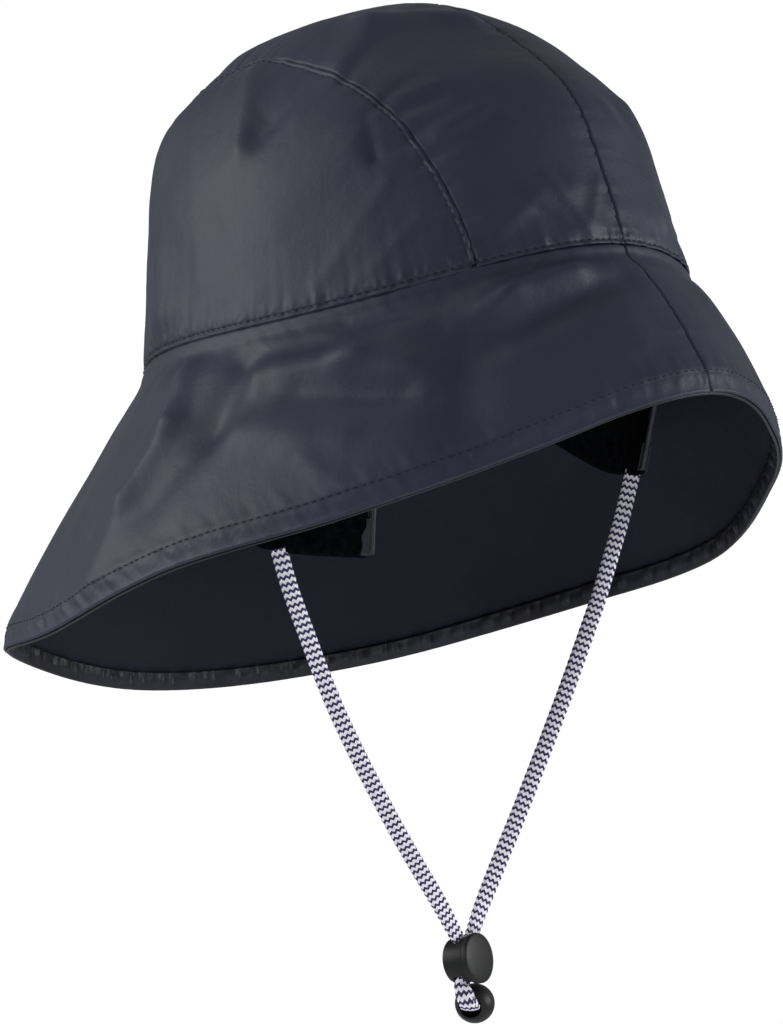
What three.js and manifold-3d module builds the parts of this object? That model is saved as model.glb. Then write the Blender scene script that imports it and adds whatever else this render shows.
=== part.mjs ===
// Sou'wester rain hat: panelled crown, long sloping brim, ear flaps and chin cord with its lock.
// Millimetres, +Z up, the front faces -Y and the wearer's right is -X. The origin is the middle of
// the band seam, where the hat sits on a head.
import * as THREE from 'three';
import { mergeVertices } from 'three/addons/utils/BufferGeometryUtils.js';
import Module from 'manifold-3d';

const wasm = await Module();
wasm.setup();

const degrees = THREE.MathUtils.degToRad;

// Driving sizes of the hat, measured on the outside of the band seam.
const bandLength = 206;
const bandWidth = 174;
const crownHeight = 107.5;
const bandSideDrop = 7.2;
const bandBackDrop = 5.6;
const hatPitch = degrees(12);
const brimBackLength = 113;
const brimBow = 2;
const brimTuck = 1.6;
const brimTuckAt = 0.08;
const brimTuckReach = 0.07;
const brimTuckFade = 0.06;
const brimFoldFade = 0.15;
const crownFoldFade = 0.12;
const crownWall = 1.2;
const brimWall = 1.5;
const seamGap = 0.3;
const foldDepth = 4;
const hemWidth = 6.5;
const hemWall = 1;

// Ear flaps, measured straight down from the band seam.
const flapWall = 2.4;
const flapDropRight = 89;
const flapDropLeft = 60;
const flapFrontTurn = 56;
const flapBackTurn = 128;
const flapBindingWidth = 2.4;
const flapBindingTop = 0.04;
const flapBindingSides = 8;

// Chin cord, a flat braid, with its lock and the ball on its end.
const cordWidth = 5.2;
const cordThickness = 2.6;
const cordTailThickness = 3.6;
const lockBarrelDiameter = 15.6;
const lockBarrelLength = 8.3;
const lockBackWall = 1;
const lockBore = 12;
const lockClearance = 0.3;
const lockTravel = 1.5;
const lockChannelWidth = 9.6;
const lockChannelLength = 3.9;
const lockEdge = 0.5;
const buttonDiameter = 17.2;
const buttonRim = 1.75;
const buttonDome = 1.1;
const buttonDomeSteps = 5;
const buttonSkirtPlay = 0.25;
const plungerEndWall = 0.8;
const ballDiameter = 13.7;
const ballMouth = 7.8;
const ballMouthDepth = 7;
const ballMouthBevel = 0.08;
const ballSteps = 12;
const roundSegments = 24;

// How finely the cloth is divided: steps round the hat and steps up or down a panel.
const turnSteps = 30;
const panelSteps = 9;
const centreSteps = 7;
const brimSteps = 8;
const flapSteps = 8;

const halfLength = bandLength / 2;
const halfWidth = bandWidth / 2;

// Fullness of the crown against a plain dome, by rise above the band in degrees.
const crownFullness = [
  { rise: 0, front: 1.0, side: 1.0, back: 1.0 },
  { rise: 15, front: 0.99, side: 0.99, back: 0.985 },
  { rise: 30, front: 1.015, side: 1.035, back: 1.022 },
  { rise: 45, front: 1.0, side: 1.063, back: 1.07 },
  { rise: 60, front: 1.004, side: 1.037, back: 1.081 },
  { rise: 75, front: 1.015, side: 1.01, back: 1.044 },
  { rise: 90, front: 1.0, side: 1.0, back: 1.0 },
];

// The arched seam of a side panel: its angle off the middle line, by the turn over the top in degrees.
const archSeam = [
  { over: 0, aside: 35.5 },
  { over: 20, aside: 37.5 },
  { over: 40, aside: 39.5 },
  { over: 60, aside: 41 },
  { over: 80, aside: 40 },
  { over: 100, aside: 36.5 },
  { over: 120, aside: 34 },
  { over: 140, aside: 34 },
  { over: 160, aside: 35 },
  { over: 180, aside: 36 },
];

// The brim by turn from the front in degrees: length down the slope as a share of brimBackLength,
// and the slope below level in degrees, on the wearer's right and left.
const brimSections = [
  { turn: 0, right: 0.55, left: 0.55, slopeRight: 61.5, slopeLeft: 61.5 },
  { turn: 30, right: 0.6, left: 0.55, slopeRight: 70.4, slopeLeft: 70.4 },
  { turn: 60, right: 0.675, left: 0.605, slopeRight: 68.8, slopeLeft: 66.2 },
  { turn: 90, right: 0.75, left: 0.79, slopeRight: 65.1, slopeLeft: 60.1 },
  { turn: 120, right: 0.895, left: 0.895, slopeRight: 60.7, slopeLeft: 60.8 },
  { turn: 150, right: 0.95, left: 0.985, slopeRight: 50.9, slopeLeft: 57.5 },
  { turn: 180, right: 1.0, left: 1.0, slopeRight: 54, slopeLeft: 54 },
];

// Folds and dents of the crown: from one place to another, each given by turn from the front (the
// wearer's right is positive) and rise, in degrees. Width is in degrees, height a share of foldDepth.
const crownFolds = [
  { turn: 60, rise: 45, toTurn: 82, toRise: 33, width: 5, height: -0.8 },
  { turn: 78, rise: 53, toTurn: 84, toRise: 36, width: 4, height: 0.3 },
  { turn: 66, rise: 3, toTurn: 42, toRise: 24, width: 4, height: 0.35 },
  { turn: 57, rise: 2, toTurn: 37, toRise: 16, width: 4, height: -0.4 },
  { turn: 52, rise: 27, toTurn: 40, toRise: 26, width: 4, height: -0.35 },
  { turn: 130, rise: 44, toTurn: 118, toRise: 8, width: 7, height: 0.5 },
  { turn: 116, rise: 52, toTurn: 126, toRise: 40, width: 6, height: 0.3 },
  { turn: 57, rise: 46, toTurn: 44, toRise: 56, width: 4, height: 0.4 },
  { turn: 70, rise: 58, toTurn: 8, toRise: 60, width: 6, height: 0.45 },
  { turn: 48, rise: 50, toTurn: 14, toRise: 50, width: 7, height: -0.4 },
  { turn: 43, rise: 36, toTurn: 28, toRise: 32, width: 4, height: -0.35 },
  { turn: 27, rise: 8, toTurn: 10, toRise: 11, width: 4, height: 0.3 },
  { turn: -22, rise: 32, toTurn: -15, toRise: 6, width: 5, height: 0.3 },
  { turn: -34, rise: 27, toTurn: -28, toRise: 6, width: 5, height: -0.3 },
  { turn: -60, rise: 42, toTurn: -80, toRise: 30, width: 6, height: -0.1 },
  { turn: -112, rise: 40, toTurn: -106, toRise: 8, width: 7, height: 0.4 },
  { turn: 170, rise: 55, toTurn: 176, toRise: 20, width: 8, height: -0.3 },
  { turn: -150, rise: 40, toTurn: -160, toRise: 12, width: 6, height: 0.3 },
];

// Folds of the brim: from one place to another, each given by turn in degrees and share of the way
// down. Width is in shares, height a share of foldDepth.
const brimFolds = [
  { turn: 105, down: 0.1, toTurn: 106, toDown: 0.9, width: 0.12, height: 0.6 },
  { turn: 88, down: 0.35, toTurn: 84, toDown: 0.9, width: 0.16, height: -0.5 },
  { turn: 71, down: 0.12, toTurn: 64, toDown: 0.75, width: 0.14, height: 0.45 },
  { turn: 55, down: 0.25, toTurn: 48, toDown: 0.5, width: 0.18, height: 0.45 },
  { turn: 40, down: 0.35, toTurn: 44, toDown: 0.9, width: 0.16, height: -0.6 },
  { turn: 12, down: 0.1, toTurn: 34, toDown: 0.3, width: 0.12, height: 0.55 },
  { turn: 15, down: 0.5, toTurn: 18, toDown: 0.95, width: 0.18, height: 0.3 },
  { turn: 132, down: 0.3, toTurn: 128, toDown: 0.9, width: 0.16, height: -0.5 },
  { turn: 158, down: 0.3, toTurn: 160, toDown: 0.95, width: 0.2, height: 0.5 },
  { turn: -20, down: 0.3, toTurn: -24, toDown: 0.9, width: 0.14, height: 0.3 },
  { turn: -46, down: 0.25, toTurn: -50, toDown: 0.8, width: 0.2, height: -0.5 },
  { turn: -76, down: 0.3, toTurn: -74, toDown: 0.9, width: 0.16, height: 0.3 },
  { turn: -106, down: 0.2, toTurn: -110, toDown: 0.9, width: 0.16, height: 0.5 },
  { turn: -140, down: 0.4, toTurn: -142, toDown: 0.9, width: 0.18, height: -0.4 },
];

// One share of the way down the brim is about as long as this many degrees of turn.
const turnPerShare = 45;

// The free edge of an ear flap from front to back: forward and aside as shares of half the band's
// length and width, drop as a share of the flap's drop.
const flapEdge = [
  { across: 0, forward: 0.318, aside: 0.794, drop: 1.0 },
  { across: 0.2, forward: 0.21, aside: 0.92, drop: 0.965 },
  { across: 0.4, forward: 0.09, aside: 0.995, drop: 0.92 },
  { across: 0.6, forward: -0.05, aside: 1.0, drop: 0.84 },
  { across: 0.8, forward: -0.25, aside: 0.95, drop: 0.58 },
  { across: 1, forward: -0.48, aside: 0.82, drop: 0.25 },
];

// The cord's route, chosen by hand: from each flap down to the lock, and the doubled tail to the ball.
const cordRouteRight = [
  [-85.6, -27.2, -80.6], [-80.8, -26.8, -92], [-73.4, -26.4, -106.5], [-66.2, -26.1, -120.4],
  [-58.2, -25.8, -134.3], [-49.2, -25.4, -148], [-39.7, -25, -161.5], [-30.1, -24.6, -174.6],
  [-20.5, -24.2, -186.8], [-10.8, -24.2, -199.4], [-2.7, -24.6, -211.2],
];
const cordRouteLeft = [
  [84.6, -20.8, -53.4], [80.2, -20.9, -68], [75, -21.1, -82.4], [69.6, -21.2, -96.2],
  [64.3, -21.4, -106.5], [59.1, -21.5, -116.6], [54, -21.7, -126.2], [48.9, -21.8, -135.5],
  [43.8, -22, -144.5], [38.6, -22.2, -153.4], [28.6, -22.5, -170.6], [18.6, -22.8, -187],
  [9.8, -23.3, -201.5], [4.3, -23.7, -211.4],
];
const cordRouteTail = [
  [-2.4, -26.7, -227], [-3, -27.7, -228.8], [-3.1, -28.7, -230.7], [-2.2, -29.1, -232.7],
  [-0.2, -28.1, -234.5], [2.3, -25.9, -235.2], [4.6, -24.3, -235],
];
const cordSteps = 26;
const cordTailSteps = 10;

// Where the lock and the ball hang, and how they are turned.
const lockCentre = new THREE.Vector3(0.3, -24.7, -219);
const lockTiltUp = degrees(9.2);
const lockTurn = degrees(13.1);
const lockRoll = degrees(-8);
const ballCentre = new THREE.Vector3(7.2, -22.75, -234.5);
const ballTiltDown = degrees(7);
const ballTurn = degrees(-61.8);

// Small steps for finding which way a surface faces, and how close two points of a solid may be.
const facingStep = 1e-3;
const flapFacingStep = 0.05;
const joinWithin = 1e-4;

const finish = (color, roughness, metalness = 0) =>
  new THREE.MeshStandardMaterial({ color, roughness, metalness });
const coatedCloth = finish('#34374a', 0.42);
const hemCloth = finish('#2b2d3b', 0.5);
const fleece = finish('#22252e', 0.95);
const braid = finish('#9c9cb2', 0.85);
const blackPlastic = finish('#1d1e20', 0.5);

const hat = new THREE.Group();
hat.rotation.x = -hatPitch;
const cordAndLock = new THREE.Group();
const whole = new THREE.Group();
whole.add(hat, cordAndLock);

// A smooth value between the rows of a table, by a cubic through neighbouring rows.
function between(before, low, high, after, part) {
  const slope = high - before;
  const bend = 2 * before - 5 * low + 4 * high - after;
  const twist = 3 * (low - high) + after - before;
  return low + 0.5 * part * (slope + part * (bend + part * twist));
}

function readTable(rows, key, column, at) {
  const last = rows.length - 1;
  let index = 0;
  while (index < last - 1 && at > rows[index + 1][key]) index += 1;
  const low = rows[index];
  const high = rows[index + 1];
  const part = (at - low[key]) / (high[key] - low[key]);
  const before = rows[Math.max(index - 1, 0)][column];
  const after = rows[Math.min(index + 2, last)][column];
  return between(before, low[column], high[column], after, part);
}

// Height of the band seam above or below its front, by turn.
function bandHeight(turn) {
  const threefold = bandBackDrop / 2;
  const twofold = (bandSideDrop - threefold) / 2;
  return -twofold * (1 - Math.cos(2 * turn)) - threefold * (1 - Math.cos(3 * turn));
}

// The hat is worked out as forward, right and up, and placed as x, y and z.
const place = (forward, right, up) => new THREE.Vector3(-right, -forward, up);

function nearness(x, y, z, fold) {
  const along = [fold.to[0] - fold.from[0], fold.to[1] - fold.from[1], fold.to[2] - fold.from[2]];
  const offset = [x - fold.from[0], y - fold.from[1], z - fold.from[2]];
  const length = along[0] ** 2 + along[1] ** 2 + along[2] ** 2;
  const dot = offset[0] * along[0] + offset[1] * along[1] + offset[2] * along[2];
  const part = THREE.MathUtils.clamp(dot / length, 0, 1);
  const gap = Math.hypot(
    offset[0] - part * along[0],
    offset[1] - part * along[1],
    offset[2] - part * along[2],
  );
  return Math.exp(-((gap / fold.width) ** 2));
}

const heading = (turn, rise) => {
  const level = Math.cos(degrees(rise));
  return [
    level * Math.cos(degrees(turn)),
    level * Math.sin(degrees(turn)),
    Math.sin(degrees(rise)),
  ];
};
const crownFoldLines = crownFolds.map((row) => ({
  from: heading(row.turn, row.rise),
  to: heading(row.toTurn, row.toRise),
  width: degrees(row.width),
  height: row.height * foldDepth,
}));
const brimFoldLines = brimFolds.map((row) => ({
  from: [row.turn / turnPerShare, row.down, 0],
  to: [row.toTurn / turnPerShare, row.toDown, 0],
  width: row.width,
  height: row.height * foldDepth,
}));
const foldHeight = (x, y, z, lines) =>
  lines.reduce((sum, fold) => sum + fold.height * nearness(x, y, z, fold), 0);

// Outside of the crown. over runs from the front (0) over the top to the back (pi), and aside is the
// angle off the middle line towards the wearer's right.
function crownPoint(over, aside) {
  const forward = Math.cos(aside) * Math.cos(over);
  const right = Math.sin(aside);
  const up = Math.cos(aside) * Math.sin(over);
  const level = Math.max(forward ** 2 + right ** 2, 1e-9);
  const rise = THREE.MathUtils.radToDeg(Math.asin(THREE.MathUtils.clamp(up, 0, 1)));
  const end = readTable(crownFullness, 'rise', forward > 0 ? 'front' : 'back', rise);
  const side = readTable(crownFullness, 'rise', 'side', rise);
  const fullness = (end * forward ** 2 + side * right ** 2) / level;
  const plain = [
    halfLength * forward * fullness,
    halfWidth * right * fullness,
    crownHeight * up * fullness,
  ];
  const reach = Math.hypot(...plain);
  const out = plain.map((value) => value / reach);
  const aboveSeam = THREE.MathUtils.smoothstep(up, 0, crownFoldFade);
  const fold = aboveSeam * foldHeight(out[0], out[1], out[2], crownFoldLines);
  const turn = Math.atan2(right, forward);
  const settle = bandHeight(turn) * (1 - up) ** 2;
  return place(plain[0] + out[0] * fold, plain[1] + out[1] * fold, plain[2] + out[2] * fold + settle);
}

// Length or slope of the brim at a turn, between rows that go all the way round.
const ringColumns = (right, left) => [
  ...brimSections.map((row) => row[right]),
  ...brimSections.slice(1, -1).reverse().map((row) => row[left]),
];
const brimLengths = ringColumns('right', 'left').map((share) => share * brimBackLength);
const brimSlopes = ringColumns('slopeRight', 'slopeLeft');
function readRing(values, turn) {
  const count = values.length;
  const position = (((turn / (2 * Math.PI)) * count) % count + count) % count;
  const index = Math.floor(position);
  const at = (offset) => values[(index + offset + count) % count];
  return between(at(-1), at(0), at(1), at(2), position - index);
}

// Outside of the brim at a turn and a share of the way down it.
function brimPoint(turn, down) {
  const length = readRing(brimLengths, turn);
  const slope = degrees(readRing(brimSlopes, turn));
  const normal = [halfWidth * Math.cos(turn), halfLength * Math.sin(turn)];
  const size = Math.hypot(...normal);
  const wrapped = THREE.MathUtils.euclideanModulo(THREE.MathUtils.radToDeg(turn) + 180, 360) - 180;
  const bow = brimBow * 4 * down * (1 - down)
    - brimTuck * Math.exp(-(((down - brimTuckAt) / brimTuckReach) ** 2));
  const fade = THREE.MathUtils.smoothstep(down, 0, brimFoldFade) * (1 - down ** 6);
  const proud = bow * THREE.MathUtils.smoothstep(down, 0, brimTuckFade)
    + fade * foldHeight(wrapped / turnPerShare, down, 0, brimFoldLines);
  const out = length * down * Math.cos(slope) + proud * Math.sin(slope);
  const fall = length * down * Math.sin(slope) - proud * Math.cos(slope);
  return place(
    halfLength * Math.cos(turn) + (normal[0] / size) * out,
    halfWidth * Math.sin(turn) + (normal[1] / size) * out,
    bandHeight(turn) - fall,
  );
}

// Direction out of a surface given by two values, from small steps to either side.
function outward(surface, u, v, inside) {
  const alongU = surface(u + facingStep, v).sub(surface(u - facingStep, v));
  const alongV = surface(u, v + facingStep).sub(surface(u, v - facingStep));
  const normal = alongU.cross(alongV).normalize();
  const away = surface(u, v).sub(inside);
  return normal.dot(away) < 0 ? normal.negate() : normal;
}

// A closed solid between two grids of points with the same rows and columns. A ring joins its last
// column to its first.
function solidBetween(outer, inner, ring = false) {
  const columns = outer.length;
  const rows = outer[0].length;
  const positions = [];
  [outer, inner].forEach((grid) => grid.forEach((column) => column.forEach((p) => positions.push(p.x, p.y, p.z))));
  const at = (layer, i, j) => layer * columns * rows + (i % columns) * rows + j;
  const index = [];
  const quad = (a, b, c, d) => index.push(a, b, c, a, c, d);
  const lastColumn = ring ? columns : columns - 1;
  for (let i = 0; i < lastColumn; i += 1) {
    for (let j = 0; j < rows - 1; j += 1) {
      quad(at(0, i, j), at(0, i + 1, j), at(0, i + 1, j + 1), at(0, i, j + 1));
      quad(at(1, i, j), at(1, i, j + 1), at(1, i + 1, j + 1), at(1, i + 1, j));
    }
    quad(at(0, i, 0), at(1, i, 0), at(1, i + 1, 0), at(0, i + 1, 0));
    quad(at(0, i, rows - 1), at(0, i + 1, rows - 1), at(1, i + 1, rows - 1), at(1, i, rows - 1));
  }
  if (!ring) {
    const end = columns - 1;
    for (let j = 0; j < rows - 1; j += 1) {
      quad(at(0, 0, j), at(0, 0, j + 1), at(1, 0, j + 1), at(1, 0, j));
      quad(at(0, end, j), at(1, end, j), at(1, end, j + 1), at(0, end, j + 1));
    }
  }
  return facingOut(positions, index);
}

// Turns every triangle over where the solid came out inside out.
function facingOut(positions, index) {
  const corner = (k) => new THREE.Vector3().fromArray(positions, index[k] * 3);
  let volume = 0;
  for (let k = 0; k < index.length; k += 3) {
    volume += corner(k).dot(corner(k + 1).cross(corner(k + 2)));
  }
  const ordered = volume > 0 ? index : index.map((_, k) => index[k - (k % 3) + (2 - (k % 3))]);
  const geometry = new THREE.BufferGeometry();
  geometry.setAttribute('position', new THREE.Float32BufferAttribute(positions, 3));
  geometry.setIndex(ordered);
  geometry.computeVertexNormals();
  return geometry;
}

function addPiece(parent, name, geometry, material) {
  const mesh = new THREE.Mesh(geometry, material);
  mesh.name = name;
  parent.add(mesh);
  return mesh;
}

// A piece of cloth: its outside from a surface of two values, and its inside one wall further in.
function clothPiece(columns, rows, surface, wall, inside) {
  const outer = columns.map((u) => rows(u).map((v) => surface(u, v)));
  const inner = columns.map((u, i) => rows(u).map((v, j) => {
    const out = outward(surface, u, v, inside);
    return outer[i][j].clone().addScaledVector(out, -wall);
  }));
  return solidBetween(outer, inner);
}

const steps = (count, from = 0, to = 1) =>
  Array.from({ length: count + 1 }, (_, k) => from + ((to - from) * k) / count);
const hatMiddle = new THREE.Vector3(0, 0, 0);
const sides = [
  { name: 'right', sign: 1, flapDrop: flapDropRight },
  { name: 'left', sign: -1, flapDrop: flapDropLeft },
];
const halfGapAngle = seamGap / 2 / halfWidth;

// Angle off the middle line of the arched seam, by the turn over the top.
const seamAside = (over) =>
  degrees(readTable(archSeam, 'over', 'aside', THREE.MathUtils.radToDeg(over)));

// Centre panels: two halves from the front band over the top to the back, on either side of the
// middle seam.
function centrePanel(side) {
  const columns = steps(turnSteps, 0, Math.PI).map((over, k) => {
    if (k === 0) return seamLift;
    return k === turnSteps ? Math.PI - seamLift : over;
  });
  const rows = (over) => steps(centreSteps, halfGapAngle, seamAside(over) - halfGapAngle);
  const surface = (over, aside) => crownPoint(over, side.sign * aside);
  return clothPiece(columns, rows, surface, crownWall, hatMiddle);
}

// Half the seam gap, as an angle above the band.
const seamLift = seamGap / 2 / crownHeight;

// Side panels: D-shaped, from the band up to the arched seam. part runs from the panel's front corner
// to its back one, along the band and along the seam alike.
function sidePanel(side) {
  const surface = (part, up) => {
    const over = part * Math.PI;
    const aside = seamAside(over) + halfGapAngle;
    const turn = THREE.MathUtils.lerp(seamAside(0), Math.PI - seamAside(Math.PI), part);
    const low = new THREE.Vector3(Math.cos(turn), Math.sin(turn), seamLift);
    const high = new THREE.Vector3(
      Math.cos(aside) * Math.cos(over),
      Math.sin(aside),
      Math.cos(aside) * Math.sin(over),
    );
    const middle = low.lerp(high, up).normalize();
    return crownPoint(Math.atan2(middle.z, middle.x), side.sign * Math.asin(middle.y));
  };
  const columns = steps(turnSteps).slice(1, -1);
  const rows = () => steps(panelSteps);
  return clothPiece(columns, rows, surface, crownWall, hatMiddle);
}

// Brim halves, which meet at the middle of the front and of the back.
function brimHalf(side) {
  const gapTurn = seamGap / 2 / halfLength;
  const columns = steps(turnSteps, 0, Math.PI).map((turn, k) => {
    if (k === 0) return gapTurn;
    return k === turnSteps ? Math.PI - gapTurn : turn;
  });
  const rows = () => steps(brimSteps, seamGap / 2 / brimBackLength, 1);
  const surface = (turn, down) => brimPoint(side.sign * turn, down);
  return clothPiece(columns, rows, surface, brimWall, hatMiddle);
}

// The hem: the edge turned under all round, one closed ring inside the brim's edge.
function brimHem() {
  const depth = brimWall + seamGap;
  const columns = steps(2 * turnSteps, 0, 2 * Math.PI).slice(0, -1);
  const level = (turn, extra) => [1 - hemWidth / readRing(brimLengths, turn), 1].map((down) => {
    const out = outward(brimPoint, turn, down, hatMiddle);
    return brimPoint(turn, down).addScaledVector(out, -depth - extra);
  });
  const outer = columns.map((turn) => level(turn, 0));
  const inner = columns.map((turn) => level(turn, hemWall));
  return solidBetween(outer, inner, true);
}

// Outside of an ear flap, from its sewn edge inside the band down to its free edge.
const flapInset = brimWall + 2 * seamGap;
function flapPoint(side, across, down) {
  const turn = degrees(THREE.MathUtils.lerp(flapFrontTurn, flapBackTurn, across));
  const top = place(
    (halfLength - flapInset) * Math.cos(turn),
    side.sign * (halfWidth - flapInset) * Math.sin(turn),
    bandHeight(turn) - seamGap,
  );
  const read = (column) => readTable(flapEdge, 'across', column, across);
  const edge = place(
    halfLength * read('forward'),
    side.sign * halfWidth * read('aside'),
    -side.flapDrop * read('drop'),
  );
  return top.lerp(edge, down);
}

function flapWalls(side, across, down) {
  const inside = new THREE.Vector3(0, 0, -side.flapDrop / 2);
  const surface = (u, v) => flapPoint(side, u, v);
  const out = outward(surface, across, down, inside);
  out.z = 0;
  out.normalize();
  const outer = flapPoint(side, across, down);
  return [outer, outer.clone().addScaledVector(out, -flapWall)];
}

function earFlap(side) {
  const columns = steps(flapSteps);
  const rows = steps(flapSteps);
  const grid = (layer) => columns.map((u) => rows.map((v) => flapWalls(side, u, v)[layer]));
  return solidBetween(grid(0), grid(1));
}

// The binding on an ear flap's front edge, a narrow folded strip just ahead of it.
function flapBinding(side) {
  const rows = steps(flapSteps, flapBindingTop, 1);
  const rings = rows.map((down) => {
    const [outer, inner] = flapWalls(side, 0, down);
    const ahead = outer.clone().sub(flapPoint(side, flapFacingStep, down)).normalize();
    const across = outer.clone().sub(inner).normalize();
    const middle = outer.clone().lerp(inner, 0.5);
    middle.addScaledVector(ahead, seamGap + flapBindingWidth / 2);
    return steps(flapBindingSides).slice(0, -1).map((part) => {
      const angle = 2 * Math.PI * (part + 0.5 / flapBindingSides);
      const half = flapBindingWidth / 2;
      return middle.clone()
        .addScaledVector(ahead, half * Math.cos(angle))
        .addScaledVector(across, half * Math.sin(angle));
    });
  });
  return tube(rings);
}

// A closed tube through rings of points, each ring with the same count.
function tube(rings) {
  const count = rings[0].length;
  const positions = [];
  const middles = [rings[0], rings[rings.length - 1]].map((ring) => {
    const middle = new THREE.Vector3();
    ring.forEach((p) => middle.addScaledVector(p, 1 / count));
    return middle;
  });
  rings.forEach((ring) => ring.forEach((p) => positions.push(p.x, p.y, p.z)));
  middles.forEach((p) => positions.push(p.x, p.y, p.z));
  const index = [];
  const first = rings.length * count;
  const lastRing = (rings.length - 1) * count;
  for (let k = 0; k < count; k += 1) {
    const next = (k + 1) % count;
    for (let r = 0; r < rings.length - 1; r += 1) {
      const low = r * count;
      index.push(low + k, low + next, low + count + next, low + k, low + count + next, low + count + k);
    }
    index.push(first, next, k, first + 1, lastRing + k, lastRing + next);
  }
  return facingOut(positions, index);
}

// A flat braid along its route: its wide faces look forward and back.
function braidTube(route, thickness, count) {
  const curve = new THREE.CatmullRomCurve3(route.map((p) => new THREE.Vector3(...p)));
  const section = new THREE.Shape();
  const corner = thickness / 4;
  const half = { across: thickness / 2, along: cordWidth / 2 };
  section.moveTo(half.across, -half.along + corner);
  section.lineTo(half.across, half.along - corner);
  section.lineTo(half.across - corner, half.along);
  section.lineTo(-half.across + corner, half.along);
  section.lineTo(-half.across, half.along - corner);
  section.lineTo(-half.across, -half.along + corner);
  section.lineTo(-half.across + corner, -half.along);
  section.lineTo(half.across - corner, -half.along);
  section.closePath();
  return new THREE.ExtrudeGeometry(section, { steps: count, extrudePath: curve, bevelEnabled: false });
}

// Solids joined and cut with manifold.
function toSolid(geometry) {
  const bare = geometry.clone();
  bare.deleteAttribute('normal');
  bare.deleteAttribute('uv');
  const merged = mergeVertices(bare, joinWithin);
  return new wasm.Manifold(new wasm.Mesh({
    numProp: 3,
    vertProperties: new Float32Array(merged.attributes.position.array),
    triVerts: new Uint32Array(merged.index.array),
  }));
}

function toGeometry(solid) {
  const mesh = solid.getMesh();
  const geometry = new THREE.BufferGeometry();
  geometry.setAttribute('position', new THREE.Float32BufferAttribute(mesh.vertProperties, 3));
  geometry.setIndex(Array.from(mesh.triVerts));
  geometry.computeVertexNormals();
  return geometry;
}

// A round solid about Z from pairs of radius and height, closed on the axis.
const turned = (profile) => {
  const points = profile.map(([radius, height]) => new THREE.Vector2(radius, height));
  return new THREE.LatheGeometry(points, roundSegments).rotateX(Math.PI / 2);
};
const boxSolid = (width, depth, height, up) =>
  toSolid(new THREE.BoxGeometry(width, depth, height).rotateZ(lockRoll).translate(0, 0, up));

// Heights along the lock's axis, from the middle of its cord channel.
const barrelBack = -lockBarrelLength / 2 - (lockBackWall - plungerEndWall) / 2;
const barrelFront = barrelBack + lockBarrelLength;

function lockBarrel() {
  const outer = lockBarrelDiameter / 2;
  const bore = lockBore / 2;
  const profile = [
    [0, barrelBack],
    [outer - lockEdge, barrelBack],
    [outer, barrelBack + lockEdge],
    [outer, barrelFront - lockEdge],
    [outer - lockEdge, barrelFront],
    [bore, barrelFront],
    [bore, barrelBack + lockBackWall],
    [0, barrelBack + lockBackWall],
  ];
  const channel = boxSolid(lockChannelWidth, 2 * lockBarrelDiameter, lockChannelLength, 0);
  return toGeometry(toSolid(turned(profile)).subtract(channel));
}

// The button: a plunger in the barrel's bore, and a cap whose skirt slides over the barrel's front.
function lockButton() {
  const plunger = lockBore / 2 - lockClearance;
  const lip = barrelFront + lockClearance;
  const capFloor = lip + lockTravel;
  const end = barrelBack + lockBackWall + lockClearance + lockTravel;
  const skirtInside = lockBarrelDiameter / 2 + buttonSkirtPlay;
  const rim = buttonDiameter / 2;
  const shoulder = lip + buttonRim;
  const profile = [
    [0, end],
    [plunger, end],
    [plunger, capFloor],
    [skirtInside, capFloor],
    [skirtInside, lip],
    [rim, lip],
    [rim, shoulder],
  ];
  steps(buttonDomeSteps).slice(1).forEach((part) => {
    const angle = (part * Math.PI) / 2;
    profile.push([rim * Math.cos(angle), shoulder + buttonDome * Math.sin(angle)]);
  });
  profile[profile.length - 1][0] = 0;
  const slotEnd = end + plungerEndWall;
  const slotLength = capFloor - slotEnd;
  const slot = boxSolid(lockChannelWidth, lockBore, slotLength, slotEnd + slotLength / 2);
  return toGeometry(toSolid(turned(profile)).subtract(slot));
}

// The ball on the cord's end, cut flat and bored where the cord goes in.
function cordBall() {
  const radius = ballDiameter / 2;
  const mouth = ballMouth / 2;
  const flat = Math.asin(mouth / radius) + ballMouthBevel;
  const profile = steps(ballSteps, Math.PI, flat).map((angle) => [
    angle === Math.PI ? 0 : radius * Math.sin(angle),
    radius * Math.cos(angle),
  ]);
  const face = radius * Math.cos(flat);
  profile.push([mouth, face], [mouth, face - ballMouthDepth], [0, face - ballMouthDepth]);
  return turned(profile);
}

sides.forEach((side) => {
  addPiece(hat, `side_panel_${side.name}`, sidePanel(side), coatedCloth);
  addPiece(hat, `centre_panel_${side.name}`, centrePanel(side), coatedCloth);
  addPiece(hat, `brim_${side.name}`, brimHalf(side), coatedCloth);
  addPiece(hat, `ear_flap_${side.name}`, earFlap(side), fleece);
  addPiece(hat, `flap_binding_${side.name}`, flapBinding(side), coatedCloth);
});
addPiece(hat, 'brim_hem', brimHem(), hemCloth);

addPiece(cordAndLock, 'chin_cord_right', braidTube(cordRouteRight, cordThickness, cordSteps), braid);
addPiece(cordAndLock, 'chin_cord_left', braidTube(cordRouteLeft, cordThickness, cordSteps), braid);
addPiece(cordAndLock, 'cord_tail', braidTube(cordRouteTail, cordTailThickness, cordTailSteps), braid);

const lock = new THREE.Group();
lock.position.copy(lockCentre);
lock.rotation.set(Math.PI / 2 - lockTiltUp, 0, lockTurn, 'ZXY');
addPiece(lock, 'lock_barrel', lockBarrel(), blackPlastic);
addPiece(lock, 'lock_button', lockButton(), blackPlastic);
cordAndLock.add(lock);

const ball = addPiece(cordAndLock, 'cord_ball', cordBall(), blackPlastic);
ball.position.copy(ballCentre);
ball.rotation.set(Math.PI / 2 + ballTiltDown, 0, ballTurn, 'ZXY');

export default whole;
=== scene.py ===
import math

import bpy
import numpy as np
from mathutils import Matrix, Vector
from mathutils.bvhtree import BVHTree


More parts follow.
